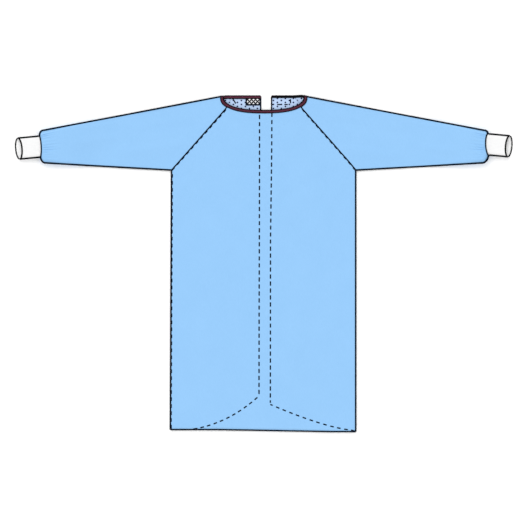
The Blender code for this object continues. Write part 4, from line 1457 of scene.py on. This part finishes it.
HOOK_FINISH = hook_white()
LOOP_FINISH = woven("loop_tape_brushed", (0.62, 0.68, 0.76), (0.78, 0.83, 0.90), 0.0013, 0.95, 0.5)
hook_tape = tape_piece("hook_tape_woven", HOOK_TAPE, "hook_tape", HOOK_FINISH)
loop_tape = tape_piece("loop_tape_brushed", LOOP_TAPE, "loop_tape", LOOP_FINISH)

# %% Hooks
HOOK_SPACING = 0.0015
HOOK_RADIUS = 0.00014
HOOK_STEM = 0.0004
HOOK_SUNK = 0.0001
CURL_RADIUS = 0.0003


def hooks():
    """One hook is a thin square tube that rises and curls over. Copies stand on a grid of places."""
    bend = np.linspace(0.0, math.radians(200), 6)
    across, up = CURL_RADIUS * (1 - np.cos(bend)), HOOK_STEM + CURL_RADIUS * np.sin(bend)
    line = np.concatenate([[[0.0, 0.0, -HOOK_SUNK]], np.stack([across, np.zeros(6), up], axis=-1)])
    turns = np.radians([45, 135, 225, 315])
    corners = HOOK_RADIUS * np.stack([np.cos(turns), np.sin(turns)], axis=-1)
    square = np.broadcast_to(corners, (len(line), 4, 2))
    one = carried(line, np.broadcast_to([0.0, 1.0, 0.0], line.shape), square)
    x = np.arange(HOOK_TAPE["from_x"] + 0.0045, HOOK_TAPE["to_x"] - 0.002, HOOK_SPACING)
    y = np.arange(TAPE_TOP_Y - TAPE_WIDTH + 0.002, TAPE_TOP_Y - 0.0015, HOOK_SPACING)
    at = np.stack(np.meshgrid(x, y, indexing="ij"), axis=-1).reshape(-1, 2)
    top = HOOK_TAPE["bottom"] + HOOK_TAPE["thickness"]
    at = np.column_stack([at, np.full(len(at), top)])
    points = (at[:, None, :] + one.reshape(1, -1, 3)).reshape(-1, 3)
    faces = grid_faces(len(line), 4, ring=True)
    caps = np.array([[0, 1, 2, 3], [len(line) * 4 - 1 - corner for corner in range(4)]])
    faces = np.concatenate([faces, caps])
    faces = (faces[None] + len(line) * 4 * np.arange(len(at))[:, None, None]).reshape(-1, 4)
    return points, faces, len(at)


points, faces, hook_count = hooks()
hook_field = make_piece("hooks", points, faces.tolist(), [HOOK_FINISH])
print("hooks on the tape:", hook_count)
report(hook_field)


# %% Stitching of the tapes
BORDER_WIDE, BORDER_HIGH = 0.0056, 0.0020
STITCH_WIDE, STITCH_HIGH = 0.0046, 0.0011


def inside_back(x, y):
    """A path on the lower layer's inner face."""
    return np.column_stack([x, y, base_height(x, y) + CLOTH_THICKNESS + 0.0003])


low_y = TAPE_TOP_Y - TAPE_WIDTH - 0.0016
border_z = HOOK_TAPE["bottom"] + HOOK_TAPE["thickness"] - 0.0002
left_x, right_x = HOOK_TAPE["from_x"] + 0.0004, HOOK_TAPE["to_x"] - 0.0012
border = [(left_x, TAPE_TOP_Y), (left_x, low_y), (right_x, low_y), (right_x, TAPE_TOP_Y)]
tape_threads = [thread([(x, y, border_z) for x, y in border], UP, BORDER_WIDE, BORDER_HIGH)]
INNER_STITCHES = (
    # from x and y, to x and y: the loop tape's box, then the bar on the left back
    (0.0300, 0.5886, 0.0345, 0.5886),
    (0.0495, 0.5886, 0.0668, 0.5886),
    (0.0762, 0.5886, 0.0900, 0.5886),
    (0.0996, 0.6090, 0.0996, 0.5928),
    (-0.1168, 0.6125, -0.1038, 0.5920),
)
for from_x, from_y, to_x, to_y in INNER_STITCHES:
    line = np.linspace((from_x, from_y), (to_x, to_y), 16)
    tape_threads.append(thread(inside_back(*line.T), UP, STITCH_WIDE, STITCH_HIGH))
tape_stitching = sew("tape_stitching", tape_threads, NAVY_THREAD)

# %% [markdown]

# %% [markdown]
# ## Floor, light and camera
# The gown lies on a plain white surface and is seen from straight above. The light is wide and soft, with a
# little more from one side, so that the waves and gathers show without hard shadows. The camera stands far
# off with a long lens, because the drawing has no perspective.

# %% Floor
FLOOR_REACH = 12.0
FLOOR_Z = -0.0007
floor_finish = Finish("white_surface", roughness=0.9)
floor_grain = floor_finish.noise(floor_finish.place, 6.0, 3.0)
floor_finish.colour(floor_finish.mix(floor_grain, (0.95, 0.95, 0.95), (0.98, 0.98, 0.98)))
floor_mesh = bpy.data.meshes.new("floor")
signs = [(-1, -1), (1, -1), (1, 1), (-1, 1)]
floor_corners = [(x * FLOOR_REACH, y * FLOOR_REACH, FLOOR_Z) for x, y in signs]
floor_mesh.from_pydata(floor_corners, [], [(0, 1, 2, 3)])
floor_mesh.materials.append(floor_finish.material)
floor = bpy.data.objects.new("floor", floor_mesh)
bpy.context.scene.collection.objects.link(floor)

# %% Light
ROOM_STRENGTH = 1.115
KEY_STRENGTH = 0.80
KEY_SOFTNESS = math.radians(40)
KEY_TURN = (math.radians(-38), math.radians(-28), 0.0)
world = bpy.data.worlds.new("soft_room")
world.use_nodes = True
room = world.node_tree.nodes["Background"].inputs
room["Color"].default_value = (1.0, 1.0, 1.0, 1.0)
room["Strength"].default_value = ROOM_STRENGTH
bpy.context.scene.world = world
key = bpy.data.objects.new("key_light", bpy.data.lights.new("key_light", "SUN"))
key.data.energy = KEY_STRENGTH
key.data.angle = KEY_SOFTNESS
key.rotation_euler = KEY_TURN
bpy.context.scene.collection.objects.link(key)
bpy.context.scene.view_settings.view_transform = "Standard"

# %% Camera
CAMERA_HEIGHT = 16.0
SENSOR_WIDTH = 36.0
VIEW_WIDTH = 1.9673
VIEW_MIDDLE = (0.0009, -0.0028)
camera = bpy.data.objects.new("camera", bpy.data.cameras.new("camera"))
camera.data.sensor_width = SENSOR_WIDTH
camera.data.lens = SENSOR_WIDTH * (CAMERA_HEIGHT - FLAT_HEIGHT) / VIEW_WIDTH
camera.data.clip_end = 60.0
camera.location = (*VIEW_MIDDLE, CAMERA_HEIGHT)
bpy.context.scene.collection.objects.link(camera)
bpy.context.scene.camera = camera
